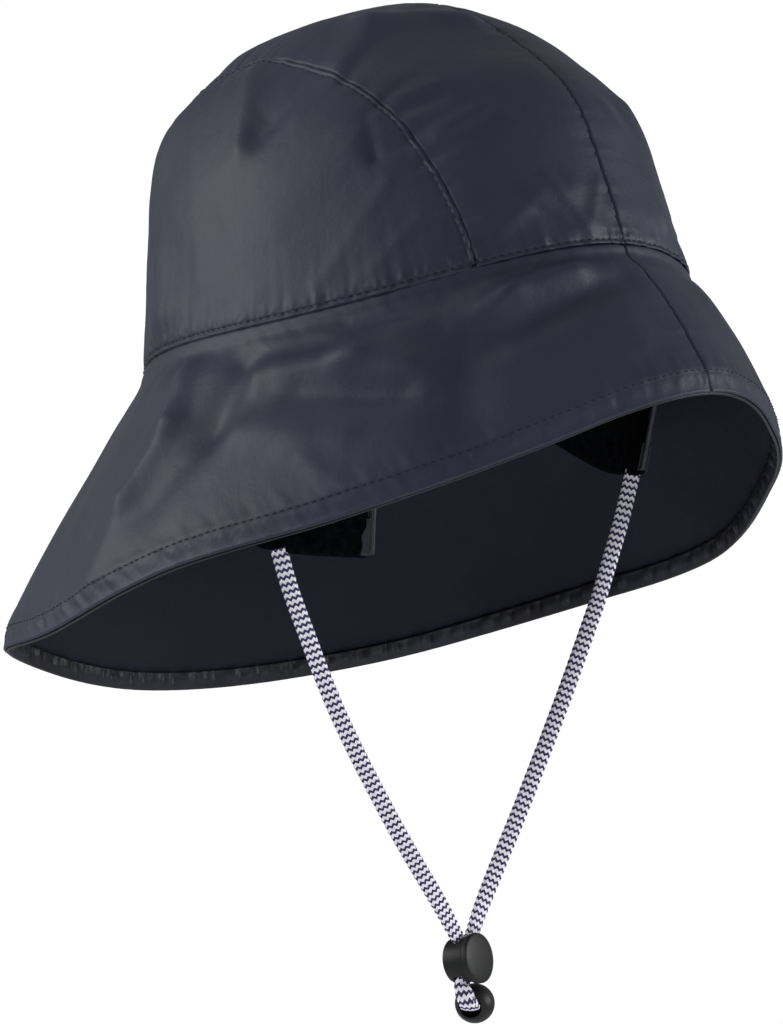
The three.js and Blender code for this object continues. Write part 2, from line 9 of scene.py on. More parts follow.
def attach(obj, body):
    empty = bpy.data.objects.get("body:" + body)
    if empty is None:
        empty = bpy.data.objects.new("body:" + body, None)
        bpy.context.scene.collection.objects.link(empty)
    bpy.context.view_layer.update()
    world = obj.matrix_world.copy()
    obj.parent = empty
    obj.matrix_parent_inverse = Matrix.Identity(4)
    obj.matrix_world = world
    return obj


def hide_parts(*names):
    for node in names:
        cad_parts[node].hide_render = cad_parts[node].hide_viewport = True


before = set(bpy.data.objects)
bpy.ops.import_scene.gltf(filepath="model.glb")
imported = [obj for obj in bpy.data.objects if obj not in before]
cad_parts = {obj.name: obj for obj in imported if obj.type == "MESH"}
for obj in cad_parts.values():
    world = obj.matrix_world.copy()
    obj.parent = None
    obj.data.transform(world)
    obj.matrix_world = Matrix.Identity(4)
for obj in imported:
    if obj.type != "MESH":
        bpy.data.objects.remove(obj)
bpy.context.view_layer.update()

# Lengths are in millimetres and angles in degrees until a mesh is made. +Z is up, the front of the
# hat faces -Y, the wearer's right is -X, and the origin is the middle of the band seam.
MILLIMETRE = 0.001
BAND_LENGTH = 206.0
BAND_WIDTH = 174.0
CROWN_HEIGHT = 107.5
BAND_SIDE_DROP = 7.2
BAND_BACK_DROP = 5.6
HAT_PITCH = 12.0
BRIM_BACK_LENGTH = 113.0
BRIM_BOW = 2.0
BRIM_TUCK = 1.6
CROWN_WALL = 1.2
BRIM_WALL = 1.5
SEAM_GAP = 0.3
FOLD_DEPTH = 4.0
HEM_WIDTH = 5.4
HEM_PROUD = 0.45
HEM_WALL = 1.0
FLAP_WALL = 2.4
FLAP_DROP = {"right": 89.0, "left": 60.0}
FLAP_FRONT_TURN = 56.0
FLAP_BACK_TURN = 128.0
FLAP_BINDING_WIDTH = 2.4
CORD_WIDTH = 5.6
CORD_THICKNESS = 2.6
BARREL_DIAMETER = 15.6
BARREL_LENGTH = 8.3
BARREL_BACK_WALL = 1.0
BORE = 12.0
LOCK_CLEARANCE = 0.3
LOCK_TRAVEL = 1.5
CHANNEL_WIDTH = 9.6
CHANNEL_LENGTH = 3.9
BUTTON_DIAMETER = 17.2
BUTTON_RIM = 1.75
BUTTON_DOME = 1.1
BUTTON_SKIRT_PLAY = 0.25
PLUNGER_END_WALL = 0.8
BALL_DIAMETER = 13.7
BALL_MOUTH = 7.8
BALL_MOUTH_DEPTH = 7.0
LOCK_CENTRE = np.array([0.3, -24.7, -219.0])
LOCK_TILT_UP = 9.2
LOCK_TURN = 13.1
LOCK_ROLL = -8
BALL_CENTRE = np.array([7.2, -22.75, -234.5])
BALL_TURN = -61.8
BALL_TILT_DOWN = 7

# The camera, placed by the seams and the outline of the hat.
CAMERA_PLACE = (-1.0289, -1.0915, -0.0664)
CAMERA_TOWARDS = (0.682, 0.731, 0.0)
CAMERA_RIGHT = np.array([0.731, -0.682, 0.0])
CAMERA_LENS = 152.9

HALF_LENGTH = BAND_LENGTH / 2
HALF_WIDTH = BAND_WIDTH / 2
SIDES = {"right": 1, "left": -1}

# Fullness of the crown against a plain dome: rise, front, side, back.
CROWN_FULLNESS = np.array([
    (0, 1.0, 1.0, 1.0),
    (15, 0.99, 0.99, 0.985),
    (30, 1.015, 1.035, 1.022),
    (45, 1.0, 1.063, 1.07),
    (60, 1.004, 1.037, 1.081),
    (75, 1.015, 1.01, 1.044),
    (90, 1.0, 1.0, 1.0),
])
FRONT, SIDE, BACK = 1, 2, 3

# The arched seam: turn over the top, angle aside.
ARCH_SEAM = np.array([
    (0, 35.5), (20, 37.5), (40, 39.5), (60, 41), (80, 40),
    (100, 36.5), (120, 34), (140, 34), (160, 35), (180, 36),
])

# The brim: turn, length right, length left, slope right, slope left.
BRIM_SECTIONS = np.array([
    (0, 0.55, 0.55, 61.5, 61.5),
    (30, 0.6, 0.555, 70.4, 68.4),
    (60, 0.675, 0.605, 68.8, 65.6),
    (90, 0.75, 0.79, 65.1, 60.1),
    (120, 0.895, 0.878, 60.7, 60.8),
    (150, 0.95, 0.967, 50.9, 57.5),
    (180, 1.0, 1.0, 54, 54),
])

# Folds of the crown: turn, rise, to turn, to rise, width, height as a share of FOLD_DEPTH.
CROWN_FOLDS = [
    (60, 46, 78, 38, 3.4, -0.55), (70, 49, 77, 43, 5, -0.35), (84, 53, 83, 36, 2.8, 0.35),
    (70, 20, 50, 34, 8, 0.12), (57, 2, 37, 16, 4, -0.1), (47, 28, 37, 26, 3.0, -0.42),
    (130, 44, 118, 8, 7, 0.5), (116, 52, 126, 40, 6, 0.3), (57, 46, 44, 57, 3.6, 0.5),
    (118, 64, 46, 60, 4, 0.35),
    (46, 60, 10, 58, 3.6, 0.5), (48, 50, 14, 50, 7, -0.45), (43, 36, 28, 32, 4, -0.3),
    (27, 8, 10, 11, 3, 0.3), (-22, 32, -15, 6, 5, 0.3), (-34, 27, -28, 6, 5, -0.3),
    (-60, 42, -80, 30, 6, -0.1), (-112, 40, -106, 8, 7, 0.4), (170, 55, 176, 20, 8, -0.3),
    (-150, 40, -160, 12, 6, 0.3),
]

# Finer creases of the crown, in the same columns.
CROWN_CREASES = [
    (48.5, 34, 47.5, 25.5, 1.4, -0.12), (47.5, 25.5, 39, 22.5, 1.4, -0.2),
    (53, 43, 41, 55, 1.6, -0.12), (40, 33, 31, 34.5, 1.4, -0.22), (41, 36, 31, 37, 1.4, 0.12),
    (37, 22, 22, 27, 1.8, -0.22), (38, 25, 23, 30, 1.6, 0.16), (47, 34, 41, 31, 2.4, 0.12),
    (64, 4, 46, 20, 1.8, 0.12), (54, 3, 40, 12, 1.6, 0.12), (26, 5, 16, 12, 1.8, 0.16),
    (30, 4, 22, 9, 1.4, -0.14), (8, 3, 14, 14, 1.2, 0.18), (8, 3, 2, 13, 1.2, 0.16),
    (12, 3, 20, 10, 1.2, -0.16), (10, 2.5, 6, 3, 2.2, 0.32), (-9, 30, -16, 5, 1.8, 0.18),
    (-15, 30, -23, 6, 1.8, -0.16), (-22, 32, -29, 8, 1.8, 0.16), (104, 40, 98, 12, 2.6, 0.12),
    (92, 22, 84, 6, 2.4, -0.1), (120, 30, 128, 6, 2.4, -0.12), (40, 62, 20, 68, 2.2, 0.12),
    (20, 56, 2, 54, 2.2, -0.12), (-48, 36, -62, 22, 2.4, 0.14), (-90, 28, -84, 8, 2.4, 0.12),
    (-130, 36, -124, 10, 2.6, -0.14), (150, 34, 156, 8, 2.4, 0.14), (-168, 40, -172, 14, 2.4, 0.12),
]

# Folds of the brim: turn, share down, to turn, to share down, width, height.
BRIM_FOLDS = [
    (105, 0.1, 106, 0.9, 0.14, 0.4), (84, 0.2, 88, 0.45, 0.09, -0.65),
    (88, 0.45, 98, 0.7, 0.09, -0.45), (98, 0.12, 97, 0.38, 0.06, 0.6),
    (97, 0.38, 104, 0.65, 0.06, 0.6), (104, 0.65, 109, 0.92, 0.06, 0.35),
    (78, 0.24, 60, 0.28, 0.08, 0.6), (60, 0.28, 46, 0.45, 0.09, 0.55),
    (70, 0.4, 52, 0.52, 0.07, -0.45), (80, 0.5, 62, 0.66, 0.08, 0.35), (70, 0.66, 60, 0.92, 0.07, 0.25),
    (41, 0.3, 41, 0.85, 0.12, -0.6), (17, 0.13, 30, 0.2, 0.09, 0.85), (30, 0.2, 41, 0.27, 0.07, 0.4),
    (8, 0.26, 34, 0.42, 0.09, -0.6), (15, 0.5, 18, 0.95, 0.18, 0.3),
    (132, 0.3, 128, 0.9, 0.16, -0.5), (158, 0.3, 160, 0.95, 0.2, 0.5),
    (-20, 0.3, -24, 0.9, 0.14, 0.3), (-46, 0.25, -50, 0.8, 0.2, -0.5),
    (-76, 0.3, -74, 0.9, 0.16, 0.3), (-106, 0.2, -110, 0.9, 0.16, 0.5),
    (-140, 0.4, -142, 0.9, 0.18, -0.4),
]

# Finer creases of the brim, in the same columns.
BRIM_CREASES = [
    (84, 0.07, 66, 0.1, 0.045, 0.22), (84, 0.16, 66, 0.18, 0.06, -0.3), (62, 0.1, 44, 0.14, 0.05, -0.25),
    (68, 0.72, 63, 0.88, 0.035, 0.14), (60, 0.48, 47, 0.6, 0.04, -0.14),
    (80, 0.1, 76, 0.3, 0.05, -0.12), (22, 0.12, 36, 0.2, 0.03, 0.12),
    (8, 0.15, 10, 0.7, 0.05, 0.1), (113, 0.12, 116, 0.85, 0.05, 0.16), (124, 0.1, 120, 0.7, 0.06, -0.1),
    (146, 0.15, 148, 0.8, 0.07, 0.12), (170, 0.2, 172, 0.8, 0.07, -0.12), (-34, 0.12, -30, 0.7, 0.06, 0.12),
    (-62, 0.12, -64, 0.7, 0.06, 0.12), (-92, 0.12, -90, 0.8, 0.06, -0.12),
    (-124, 0.12, -126, 0.8, 0.07, 0.12), (-158, 0.2, -160, 0.85, 0.07, 0.12),
]
TURN_PER_SHARE = 45
CROWN_FOLD_FADE = 0.12
BRIM_FOLD_FADE = 0.15
BRIM_RIM_FADE = 6
BRIM_TUCK_AT = 0.08
BRIM_TUCK_REACH = 0.07
BRIM_TUCK_FADE = 0.06

# The free edge of an ear flap: across, forward, aside, drop.
FLAP_EDGE = np.array([
    (0, 0.318, 0.794, 1.0),
    (0.2, 0.21, 0.92, 0.965),
    (0.4, 0.09, 0.995, 0.92),
    (0.6, -0.05, 1.0, 0.84),
    (0.8, -0.25, 0.95, 0.58),
    (1, -0.48, 0.82, 0.25),
])

# The route of each strand of the cord: from its flap to the lock, and from the lock
# into the ball.
STRAND_RIGHT = [
    [-85.6, -27.2, -80.6], [-80.8, -26.8, -92], [-73.4, -26.4, -106.5], [-66.2, -26.1, -120.4],
    [-58.2, -25.8, -134.3], [-49.2, -25.4, -148], [-39.7, -25, -161.5], [-30.1, -24.6, -174.6],
    [-20.5, -24.2, -186.8], [-10.8, -24.2, -199.4], [-2.7, -24.6, -211.2],
]
STRAND_LEFT = [
    [85.7, -21.9, -53.4], [81, -21.6, -68], [75.3, -21.4, -82.4], [69.6, -21.2, -96.2],
    [64.3, -21.4, -106.5], [59.1, -21.5, -116.6], [54, -21.7, -126.2], [48.9, -21.8, -135.5],
    [43.8, -22, -144.5], [38.6, -22.2, -153.4], [28.6, -22.5, -170.6], [18.6, -22.8, -187],
    [9.8, -23.3, -201.5], [4.3, -23.7, -211.4],
]
TAIL = [
    [-2.4, -26.7, -227], [-3, -27.7, -228.8], [-3.1, -28.7, -230.7], [-2.2, -29.1, -232.7],
    [-0.2, -28.1, -234.5], [2.3, -25.9, -235.2], [4.6, -24.3, -235],
]


def between(before, low, high, after, part):
    slope = high - before
    bend = 2 * before - 5 * low + 4 * high - after
    twist = 3 * (low - high) + after - before
    return low + 0.5 * part * (slope + part * (bend + part * twist))


def read_table(rows, column, at):
    at = np.asarray(at, float)
    keys = rows[:, 0]
    last = len(rows) - 1
    index = np.clip(np.searchsorted(keys, at, side="left") - 1, 0, last - 1)
    part = (at - keys[index]) / (keys[index + 1] - keys[index])
    value = rows[:, column]
    before = value[np.maximum(index - 1, 0)]
    after = value[np.minimum(index + 2, last)]
    return between(before, value[index], value[index + 1], after, part)


def smoothstep(value, low, high):
    part = np.clip((np.asarray(value, float) - low) / (high - low), 0, 1)
    return part * part * (3 - 2 * part)


def bump(value, middle, width):
    return np.exp(-(((value - middle) / width) ** 2))


WAVE_SHARES = (0.62, 1.0, 1.37, 2.1)
WAVE_TOTAL = 2.6
ROLLING_WAVES = 7
ROLLING_PERIODS = (0.7, 1.5)


def wobble(position, period, seed):
    """A smooth wave without a regular beat, from -1 to 1, along one value."""
    maker = np.random.default_rng(seed)
    total = np.zeros_like(position)
    for share in WAVE_SHARES:
        total += np.sin(2 * math.pi * position * share / period + maker.uniform(0, 2 * math.pi))
    return total / WAVE_TOTAL


def rolling(points, period, seed):
    """A smooth wave without a regular beat over a surface."""
    maker = np.random.default_rng(seed)
    total = np.zeros(points.shape[:-1])
    for _ in range(ROLLING_WAVES):
        way = maker.normal(size=3)
        way /= np.linalg.norm(way)
        length = period * maker.uniform(*ROLLING_PERIODS)
        total += np.sin(2 * math.pi * (points @ way) / length + maker.uniform(0, 2 * math.pi))
    return total / math.sqrt(ROLLING_WAVES)


def band_height(turn):
    threefold = BAND_BACK_DROP / 2
    twofold = (BAND_SIDE_DROP - threefold) / 2
    return -twofold * (1 - np.cos(2 * turn)) - threefold * (1 - np.cos(3 * turn))


def place(forward, right, up):
    level = math.cos(math.radians(HAT_PITCH))
    steep = math.sin(math.radians(HAT_PITCH))
    forward, right, up = np.broadcast_arrays(forward, right, up)
    return np.stack([-right, -forward * level + up * steep, forward * steep + up * level], axis=-1)


def heading(turn, rise):
    turn, rise = math.radians(turn), math.radians(rise)
    return np.array([math.cos(rise) * math.cos(turn), math.cos(rise) * math.sin(turn), math.sin(rise)])


def crown_lines(rows):
    return [
        (heading(turn, rise), heading(to_turn, to_rise), math.radians(width), height * FOLD_DEPTH)
        for turn, rise, to_turn, to_rise, width, height in rows
    ]


def brim_lines(rows):
    return [
        (np.array([turn / TURN_PER_SHARE, down]), np.array([to_turn / TURN_PER_SHARE, to_down]),
         width, height * FOLD_DEPTH)
        for turn, down, to_turn, to_down, width, height in rows
    ]


def fold_height(points, lines):
    total = np.zeros(points.shape[:-1])
    for start, end, width, height in lines:
        along = end - start
        part = np.clip(((points - start) @ along) / (along @ along), 0, 1)
        gap = points - start - part[..., None] * along
        total += height * np.exp(-(gap**2).sum(-1) / width**2)
    return total


CROWN_LINES = crown_lines(CROWN_FOLDS + CROWN_CREASES)
BRIM_LINES = brim_lines(BRIM_FOLDS + BRIM_CREASES)


def crown_towards(forward, right, up):
    """Outside of the crown in a direction from its middle."""
    level = np.maximum(forward**2 + right**2, 1e-9)
    rise = np.degrees(np.arcsin(np.clip(up, 0, 1)))
    ends = np.where(
        forward > 0,
        read_table(CROWN_FULLNESS, FRONT, rise),
        read_table(CROWN_FULLNESS, BACK, rise),
    )
    side = read_table(CROWN_FULLNESS, SIDE, rise)
    fullness = (ends * forward**2 + side * right**2) / level
    plain = np.stack(
        [HALF_LENGTH * forward * fullness, HALF_WIDTH * right * fullness, CROWN_HEIGHT * up * fullness],
        axis=-1,
    )
    out = plain / np.linalg.norm(plain, axis=-1, keepdims=True)
    fold = smoothstep(up, 0, CROWN_FOLD_FADE) * fold_height(out, CROWN_LINES)
    turn = np.arctan2(right, forward)
    settle = band_height(turn) * (1 - up) ** 2
    spot = plain + out * fold[..., None]
    return place(spot[..., 0], spot[..., 1], spot[..., 2] + settle)


def crown_point(over, aside):
    return crown_towards(np.cos(aside) * np.cos(over), np.sin(aside) + 0 * over, np.cos(aside) * np.sin(over))


def seam_aside(over):
    return np.radians(read_table(ARCH_SEAM, 1, np.degrees(over)))


def ring(right, left, scale):
    values = BRIM_SECTIONS[:, right].tolist() + BRIM_SECTIONS[1:-1, left].tolist()[::-1]
    return np.array(values) * scale


BRIM_LENGTHS = ring(1, 2, BRIM_BACK_LENGTH)
BRIM_SLOPES = ring(3, 4, math.pi / 180)


def read_ring(values, turn):
    count = len(values)
    position = (turn / (2 * math.pi) * count) % count
    index = np.floor(position).astype(int)
    low, high = values[index % count], values[(index + 1) % count]
    return between(values[(index - 1) % count], low, high, values[(index + 2) % count], position - index)


def brim_point(turn, down):
    turn, down = np.broadcast_arrays(turn, down)
    length = read_ring(BRIM_LENGTHS, turn)
    slope = read_ring(BRIM_SLOPES, turn)
    across = np.stack([HALF_WIDTH * np.cos(turn), HALF_LENGTH * np.sin(turn)], axis=-1)
    across /= np.linalg.norm(across, axis=-1, keepdims=True)
    wrapped = (np.degrees(turn) + 180) % 360 - 180
    bow = BRIM_BOW * 4 * down * (1 - down) - BRIM_TUCK * bump(down, BRIM_TUCK_AT, BRIM_TUCK_REACH)
    fade = smoothstep(down, 0, BRIM_FOLD_FADE) * (1 - np.abs(down) ** BRIM_RIM_FADE)
    flat = np.stack([wrapped / TURN_PER_SHARE, down], axis=-1)
    proud = bow * smoothstep(down, 0, BRIM_TUCK_FADE) + fade * fold_height(flat, BRIM_LINES)
    out = length * down * np.cos(slope) + proud * np.sin(slope)
    fall = length * down * np.sin(slope) - proud * np.cos(slope)
    return place(
        HALF_LENGTH * np.cos(turn) + across[..., 0] * out,
        HALF_WIDTH * np.sin(turn) + across[..., 1] * out,
        band_height(turn) - fall,
    )


def unit(vectors):
    return vectors / np.maximum(np.linalg.norm(vectors, axis=-1, keepdims=True), 1e-9)


HAT_INSIDE = (0.0, 0.0, -10.0)


def grid_normals(points, closed=False, inside=HAT_INSIDE):
    if closed:
        across = np.roll(points, -1, axis=0) - np.roll(points, 1, axis=0)
    else:
        across = np.gradient(points, axis=0)
    normals = unit(np.cross(across, np.gradient(points, axis=1)))
    if ((points - np.array(inside)) * normals).sum() < 0:
        normals = -normals
    return normals


def arc_along(line):
    return np.concatenate([[0], np.cumsum(np.linalg.norm(np.diff(line, axis=0), axis=1))])


def nearest_on(points, line):
    """For each point, how far it is from a line of points, and how far along the line that is."""
    flat = points.reshape(-1, 3)
    arc = arc_along(line)
    tangents = unit(np.gradient(line, axis=0))
    gap = np.empty(len(flat))
    position = np.empty(len(flat))
    batch = 2000
    for start in range(0, len(flat), batch):
        some = flat[start:start + batch]
        near = ((some[:, None] - line[None]) ** 2).sum(-1).argmin(1)
        offset = ((some - line[near]) * tangents[near]).sum(-1)
        offset = np.where((near == 0) | (near == len(line) - 1), 0, offset)
        gap[start:start + batch] = np.linalg.norm(
            some - line[near] - tangents[near] * offset[:, None], axis=-1)
        position[start:start + batch] = arc[near] + offset
    return gap.reshape(points.shape[:-1]), position.reshape(points.shape[:-1])


SPACING_SAMPLES = 2001
FINE_REACH = 6
FINE_GAIN = 3


def spaced(count, length):
    """Steps from 0 to 1, closer together at the two ends, which are sewn."""
    at = np.linspace(0, 1, SPACING_SAMPLES)
    reach = FINE_REACH / length
    closeness = 1 + FINE_GAIN * np.exp(-((at / reach) ** 2)) + FINE_GAIN * np.exp(-(((1 - at) / reach) ** 2))
    total = np.concatenate([[0], np.cumsum((closeness[1:] + closeness[:-1]) / 2)])
    return np.interp(np.linspace(0, total[-1], count + 1), total, at)


# Materials.
class Value:
    """A number inside a material, so that materials are written as sums."""

    def __init__(self, tree, socket):
        self.tree = tree
        self.socket = socket

    def math(self, operation, other=None, flip=False, clamp=False):
        node = self.tree.nodes.new("ShaderNodeMath")
        node.operation = operation
        node.use_clamp = clamp
        ends = [self, other][::-1] if flip else [self, other]
        for slot, end in enumerate(ends):
            if end is not None:
                connect(self.tree, node.inputs[slot], end)
        return Value(self.tree, node.outputs[0])

    def __add__(self, other):
        return self.math("ADD", other)

    __radd__ = __add__

    def __sub__(self, other):
        return self.math("SUBTRACT", other)

    def __rsub__(self, other):
        return self.math("SUBTRACT", other, flip=True)

    def __mul__(self, other):
        return self.math("MULTIPLY", other)

    __rmul__ = __mul__

    def __truediv__(self, other):
        return self.math("DIVIDE", other)

    def ramp(self, low, high):
        """0 below low, 1 above high, smooth between."""
        part = ((self - low) / (high - low)).math("ADD", 0, clamp=True)
        return part * part * (3 - 2 * part)


def connect(tree, target, value):
    if isinstance(value, Value):
        tree.links.new(value.socket, target)
    elif isinstance(value, bpy.types.NodeSocket):
        tree.links.new(value, target)
    else:
        target.default_value = value


class Finish:
    """A material on one Principled shader."""

    def __init__(self, name, roughness, specular):
        self.material = bpy.data.materials.new(name)
        self.material.use_nodes = True
        self.tree = self.material.node_tree
        self.shader = self.tree.nodes["Principled BSDF"]
        self.shader.inputs["Roughness"].default_value = roughness
        self.shader.inputs["Specular IOR Level"].default_value = specular
        self.place = self.tree.nodes.new("ShaderNodeTexCoord")

    def node(self, kind, **inputs):
        node = self.tree.nodes.new(kind)
        for key, value in inputs.items():
            connect(self.tree, node.inputs[key], value)
        return Value(self.tree, node.outputs[0])

    def noise(self, scale, detail, roughness=0.5):
        return self.node("ShaderNodeTexNoise", Scale=scale, Detail=detail, Roughness=roughness,
                         Vector=self.place.outputs["Object"])

    def mix(self, part, low, high):
        node = self.tree.nodes.new("ShaderNodeMix")
        node.data_type = "RGBA"
        connect(self.tree, node.inputs[0], part)
        connect(self.tree, node.inputs[6], (*low, 1) if isinstance(low, tuple) else low)
        connect(self.tree, node.inputs[7], (*high, 1) if isinstance(high, tuple) else high)
        return Value(self.tree, node.outputs[2])

    def colour(self, value):
        connect(self.tree, self.shader.inputs["Base Color"], value)

    def roughness(self, value):
        connect(self.tree, self.shader.inputs["Roughness"], value)

    def relief(self, height, distance, strength):
        normal = self.node("ShaderNodeBump", Strength=strength, Distance=distance, Height=height)
        connect(self.tree, self.shader.inputs["Normal"], normal)


def coated_cloth(name, dark, light, roughness, specular):
    """Woven cloth under a thin coat: soft mottling, a fine grain and small creases."""
    made = Finish(name, roughness, specular)
    mottle = made.noise(28, 3)
    grain = made.noise(2600, 1)
    threads = made.noise(900, 2)
    crinkle = made.noise(120, 4, 0.55)
    made.colour(made.mix(mottle.ramp(0.3, 0.7) * 0.75 + grain * 0.25, dark, light))
    made.roughness(roughness - 0.08 + mottle * 0.1 + grain * 0.06)
    made.relief(crinkle * 0.8 + threads * 0.12 + grain * 0.08, 0.0009, 0.5)
    return made.material


def fleece_cloth():
    made = Finish("fleece", 0.95, 0.0)
    tuft = made.noise(420, 4, 0.7)
    pile = made.noise(1500, 2)
    # Painted shade: the fleece is dark of itself, and its colour is made darker still to stand in for the
    # shadow the brim casts on the flaps.
    made.colour(made.mix(tuft.ramp(0.35, 0.7), (0.0022, 0.0025, 0.0032), (0.0062, 0.0068, 0.0085)))
    made.roughness(0.88 + pile * 0.1)
    made.relief(tuft * 0.7 + pile * 0.3, 0.0012, 0.8)
    return made.material


def thread():
    made = Finish("thread", 0.75, 0.3)
    twist = made.noise(3000, 1)
    made.colour(made.mix(twist, (0.006, 0.007, 0.014), (0.014, 0.016, 0.03)))
    made.relief(twist, 0.0002, 0.4)
    return made.material


def plastic():
    made = Finish("matte_plastic", 0.42, 0.22)
    cloud = made.noise(160, 3)
    spark = made.noise(4200, 1)
    made.colour(made.mix(cloud, (0.0065, 0.007, 0.0072), (0.013, 0.0138, 0.0135)))
    made.roughness(0.36 + cloud * 0.1 + spark * 0.08)
    made.relief(spark * 0.6 + cloud * 0.4, 0.00012, 0.5)
    return made.material


# The braid's pattern: rows of teeth across the cord, in millimetres.
ROW_PERIOD = 2.5
TOOTH_PERIOD_COUNT = 8
TOOTH_HEIGHT = 0.36
WHITE = (0.93, 0.91, 0.98)
SHADED_WHITE = (0.76, 0.74, 0.86)
NAVY = (0.022, 0.018, 0.065)
LIGHT_NAVY = (0.05, 0.045, 0.12)


def braid():
    made = Finish("braid", 0.8, 0.25)
    split = made.tree.nodes.new("ShaderNodeSeparateXYZ")
    made.tree.links.new(made.place.outputs["UV"], split.inputs[0])
    across = Value(made.tree, split.outputs[0])
    along = Value(made.tree, split.outputs[1])
    tooth = ((across * TOOTH_PERIOD_COUNT).math("FRACT") - 0.5).math("ABSOLUTE") * 2
    fibre = made.noise(1700, 2)
    row = along + tooth * TOOTH_HEIGHT + (fibre - 0.5) * 0.09
    wave = (row * 2 * math.pi).math("SINE")
    light = made.mix(fibre.ramp(0.35, 0.65), SHADED_WHITE, WHITE)
    dark = made.mix(fibre.ramp(0.35, 0.65), NAVY, LIGHT_NAVY)
    made.colour(made.mix(wave.ramp(-0.05, 0.3), light, dark))
    strand = ((along * 2 + tooth).math("FRACT") - 0.5).math("ABSOLUTE")
    made.relief(strand * 0.7 + fibre * 0.3, 0.0004, 0.6)
    return made.material


OUTSIDE = coated_cloth("coated_cloth", (0.0165, 0.019, 0.037), (0.023, 0.026, 0.049), 0.53, 0.28)
INSIDE = coated_cloth("cloth_inside", (0.0115, 0.012, 0.022), (0.015, 0.0158, 0.028), 0.7, 0.12)
# Painted shade: the hem is the same navy cloth turned under, given a darker colour for the shade under the
# brim's edge.
HEM = coated_cloth("hem_cloth", (0.0075, 0.008, 0.013), (0.018, 0.0195, 0.03), 0.45, 0.25)
# Painted shade: the binding and tabs are navy cloth given a darker colour for the shade they sit in under the
# brim.
BINDING = coated_cloth("binding_cloth", (0.009, 0.0098, 0.016), (0.016, 0.0175, 0.028), 0.5, 0.35)
FLEECE = fleece_cloth()
THREAD = thread()
PLASTIC = plastic()


# Meshes.
def add(name, data):
    thing = bpy.data.objects.new(name, data)
    bpy.context.scene.collection.objects.link(thing)
    return thing


def make_piece(name, points, faces, materials, slots=None, body="hat", slot="coated_cloth"):
    mesh = bpy.data.meshes.new(name)
    mesh.from_pydata((np.asarray(points) * MILLIMETRE).tolist(), [], faces)
    for material in materials:
        mesh.materials.append(material)
    if slots is not None:
        mesh.polygons.foreach_set("material_index", np.asarray(slots, np.int32))
    mesh.polygons.foreach_set("use_smooth", np.ones(len(mesh.polygons), bool))
    mesh.update()
    piece = add(name, mesh)
    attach(piece, body)
    return piece


def volume_of(points, quads):
    a, b, c, d = (points[quads[:, k]] for k in range(4))
    return (np.cross(a, b) * c).sum() + (np.cross(a, c) * d).sum()


ROUNDING = (math.pi / 4, math.pi / 2, 3 * math.pi / 4)


def shell(
    name, outer, wall, materials, lining=None, closed=False, level=False, inside=HAT_INSIDE, **rest
):
    """A closed piece of cloth from the grid of its outside, with rounded first and last rows."""
    normals = grid_normals(outer, closed, inside)
    if level:
        normals = unit(normals * (1, 1, 0))
    inner = outer - normals * wall
    if lining is not None:
        inner = lining - grid_normals(lining, closed, inside) * wall
    columns, rows = outer.shape[:2]

    def rounded(edge, beside):
        ahead = unit(outer[:, edge] - outer[:, beside])
        middle = (outer[:, edge] + inner[:, edge]) / 2
        half = (outer[:, edge] - inner[:, edge]) / 2
        return [middle + half * math.cos(a) + ahead * math.sin(a) * wall / 2 for a in ROUNDING]

    end = np.stack(rounded(-1, -2), axis=1)
    start = np.stack(rounded(0, 1)[::-1], axis=1)
    loop = np.concatenate([outer, end, inner[:, ::-1], start], axis=1)
    size = loop.shape[1]
    points = loop.reshape(-1, 3)
    i = np.arange(columns if closed else columns - 1)[:, None]
    j = np.arange(size)[None]
    following = (i + 1) % columns
    beyond = (j + 1) % size
    quads = np.stack(
        [i * size + j, following * size + j, following * size + beyond, i * size + beyond], axis=-1)
    slots = np.zeros(quads.shape[:2], int)
    slots[:, rows + 3:2 * rows + 2] = len(materials) - 1
    quads = quads.reshape(-1, 4)
    turned_in = volume_of(points, quads) < 0
    if turned_in:
        quads = quads[:, ::-1]
    faces = quads.tolist()
    slots = slots.reshape(-1).tolist()
    if not closed:
        for column, flip in ((0, False), (columns - 1, True)):
            cap = [column * size + k for k in range(size)]
            caps = [
                [cap[r], cap[r + 1], cap[2 * rows + 1 - r], cap[2 * rows + 2 - r]]
                for r in range(rows - 1)
            ]
            caps.append(cap[rows - 1:rows + 4])
            caps.append(cap[2 * rows + 2:] + [cap[0]])
            if flip != turned_in:
                caps = [face[::-1] for face in caps]
            faces += caps
            slots += [0] * len(caps)
    return make_piece(name, points, faces, materials, slots, **rest)


def tube_faces(rings, sides):
    return [
        [r * sides + k, r * sides + (k + 1) % sides, (r + 1) * sides + (k + 1) % sides, (r + 1) * sides + k]
        for r in range(rings - 1) for k in range(sides)
    ]


def closed_tube_faces(rings, sides):
    last = (rings - 1) * sides
    return tube_faces(rings, sides) + [list(range(sides))[::-1], list(range(last, last + sides))]


def grid_faces(columns, rows, start):
    i = np.arange(columns - 1)[:, None]
    j = np.arange(rows - 1)[None]
    base = start + i * rows + j
    return np.stack([base, base + rows, base + rows + 1, base + 1], axis=-1).reshape(-1, 4).tolist()


def surface_tree(grids):
    points, faces = [], []
    for grid in grids:
        faces += grid_faces(grid.shape[0], grid.shape[1], len(points))
        points += grid.reshape(-1, 3).tolist()
    return BVHTree.FromPolygons(points, faces)


STITCH_LENGTH = 2.3
STITCH_GAP = 1.1
STITCH_RADIUS = 0.22
STITCH_RINGS = ((0.0, 0.25, -0.22), (0.2, 0.85, 0.02), (0.5, 1.0, 0.1), (0.8, 0.85, 0.02), (1.0, 0.25, -0.22))
STITCH_SIDES = 6
STITCH_UNEVEN = 0.12


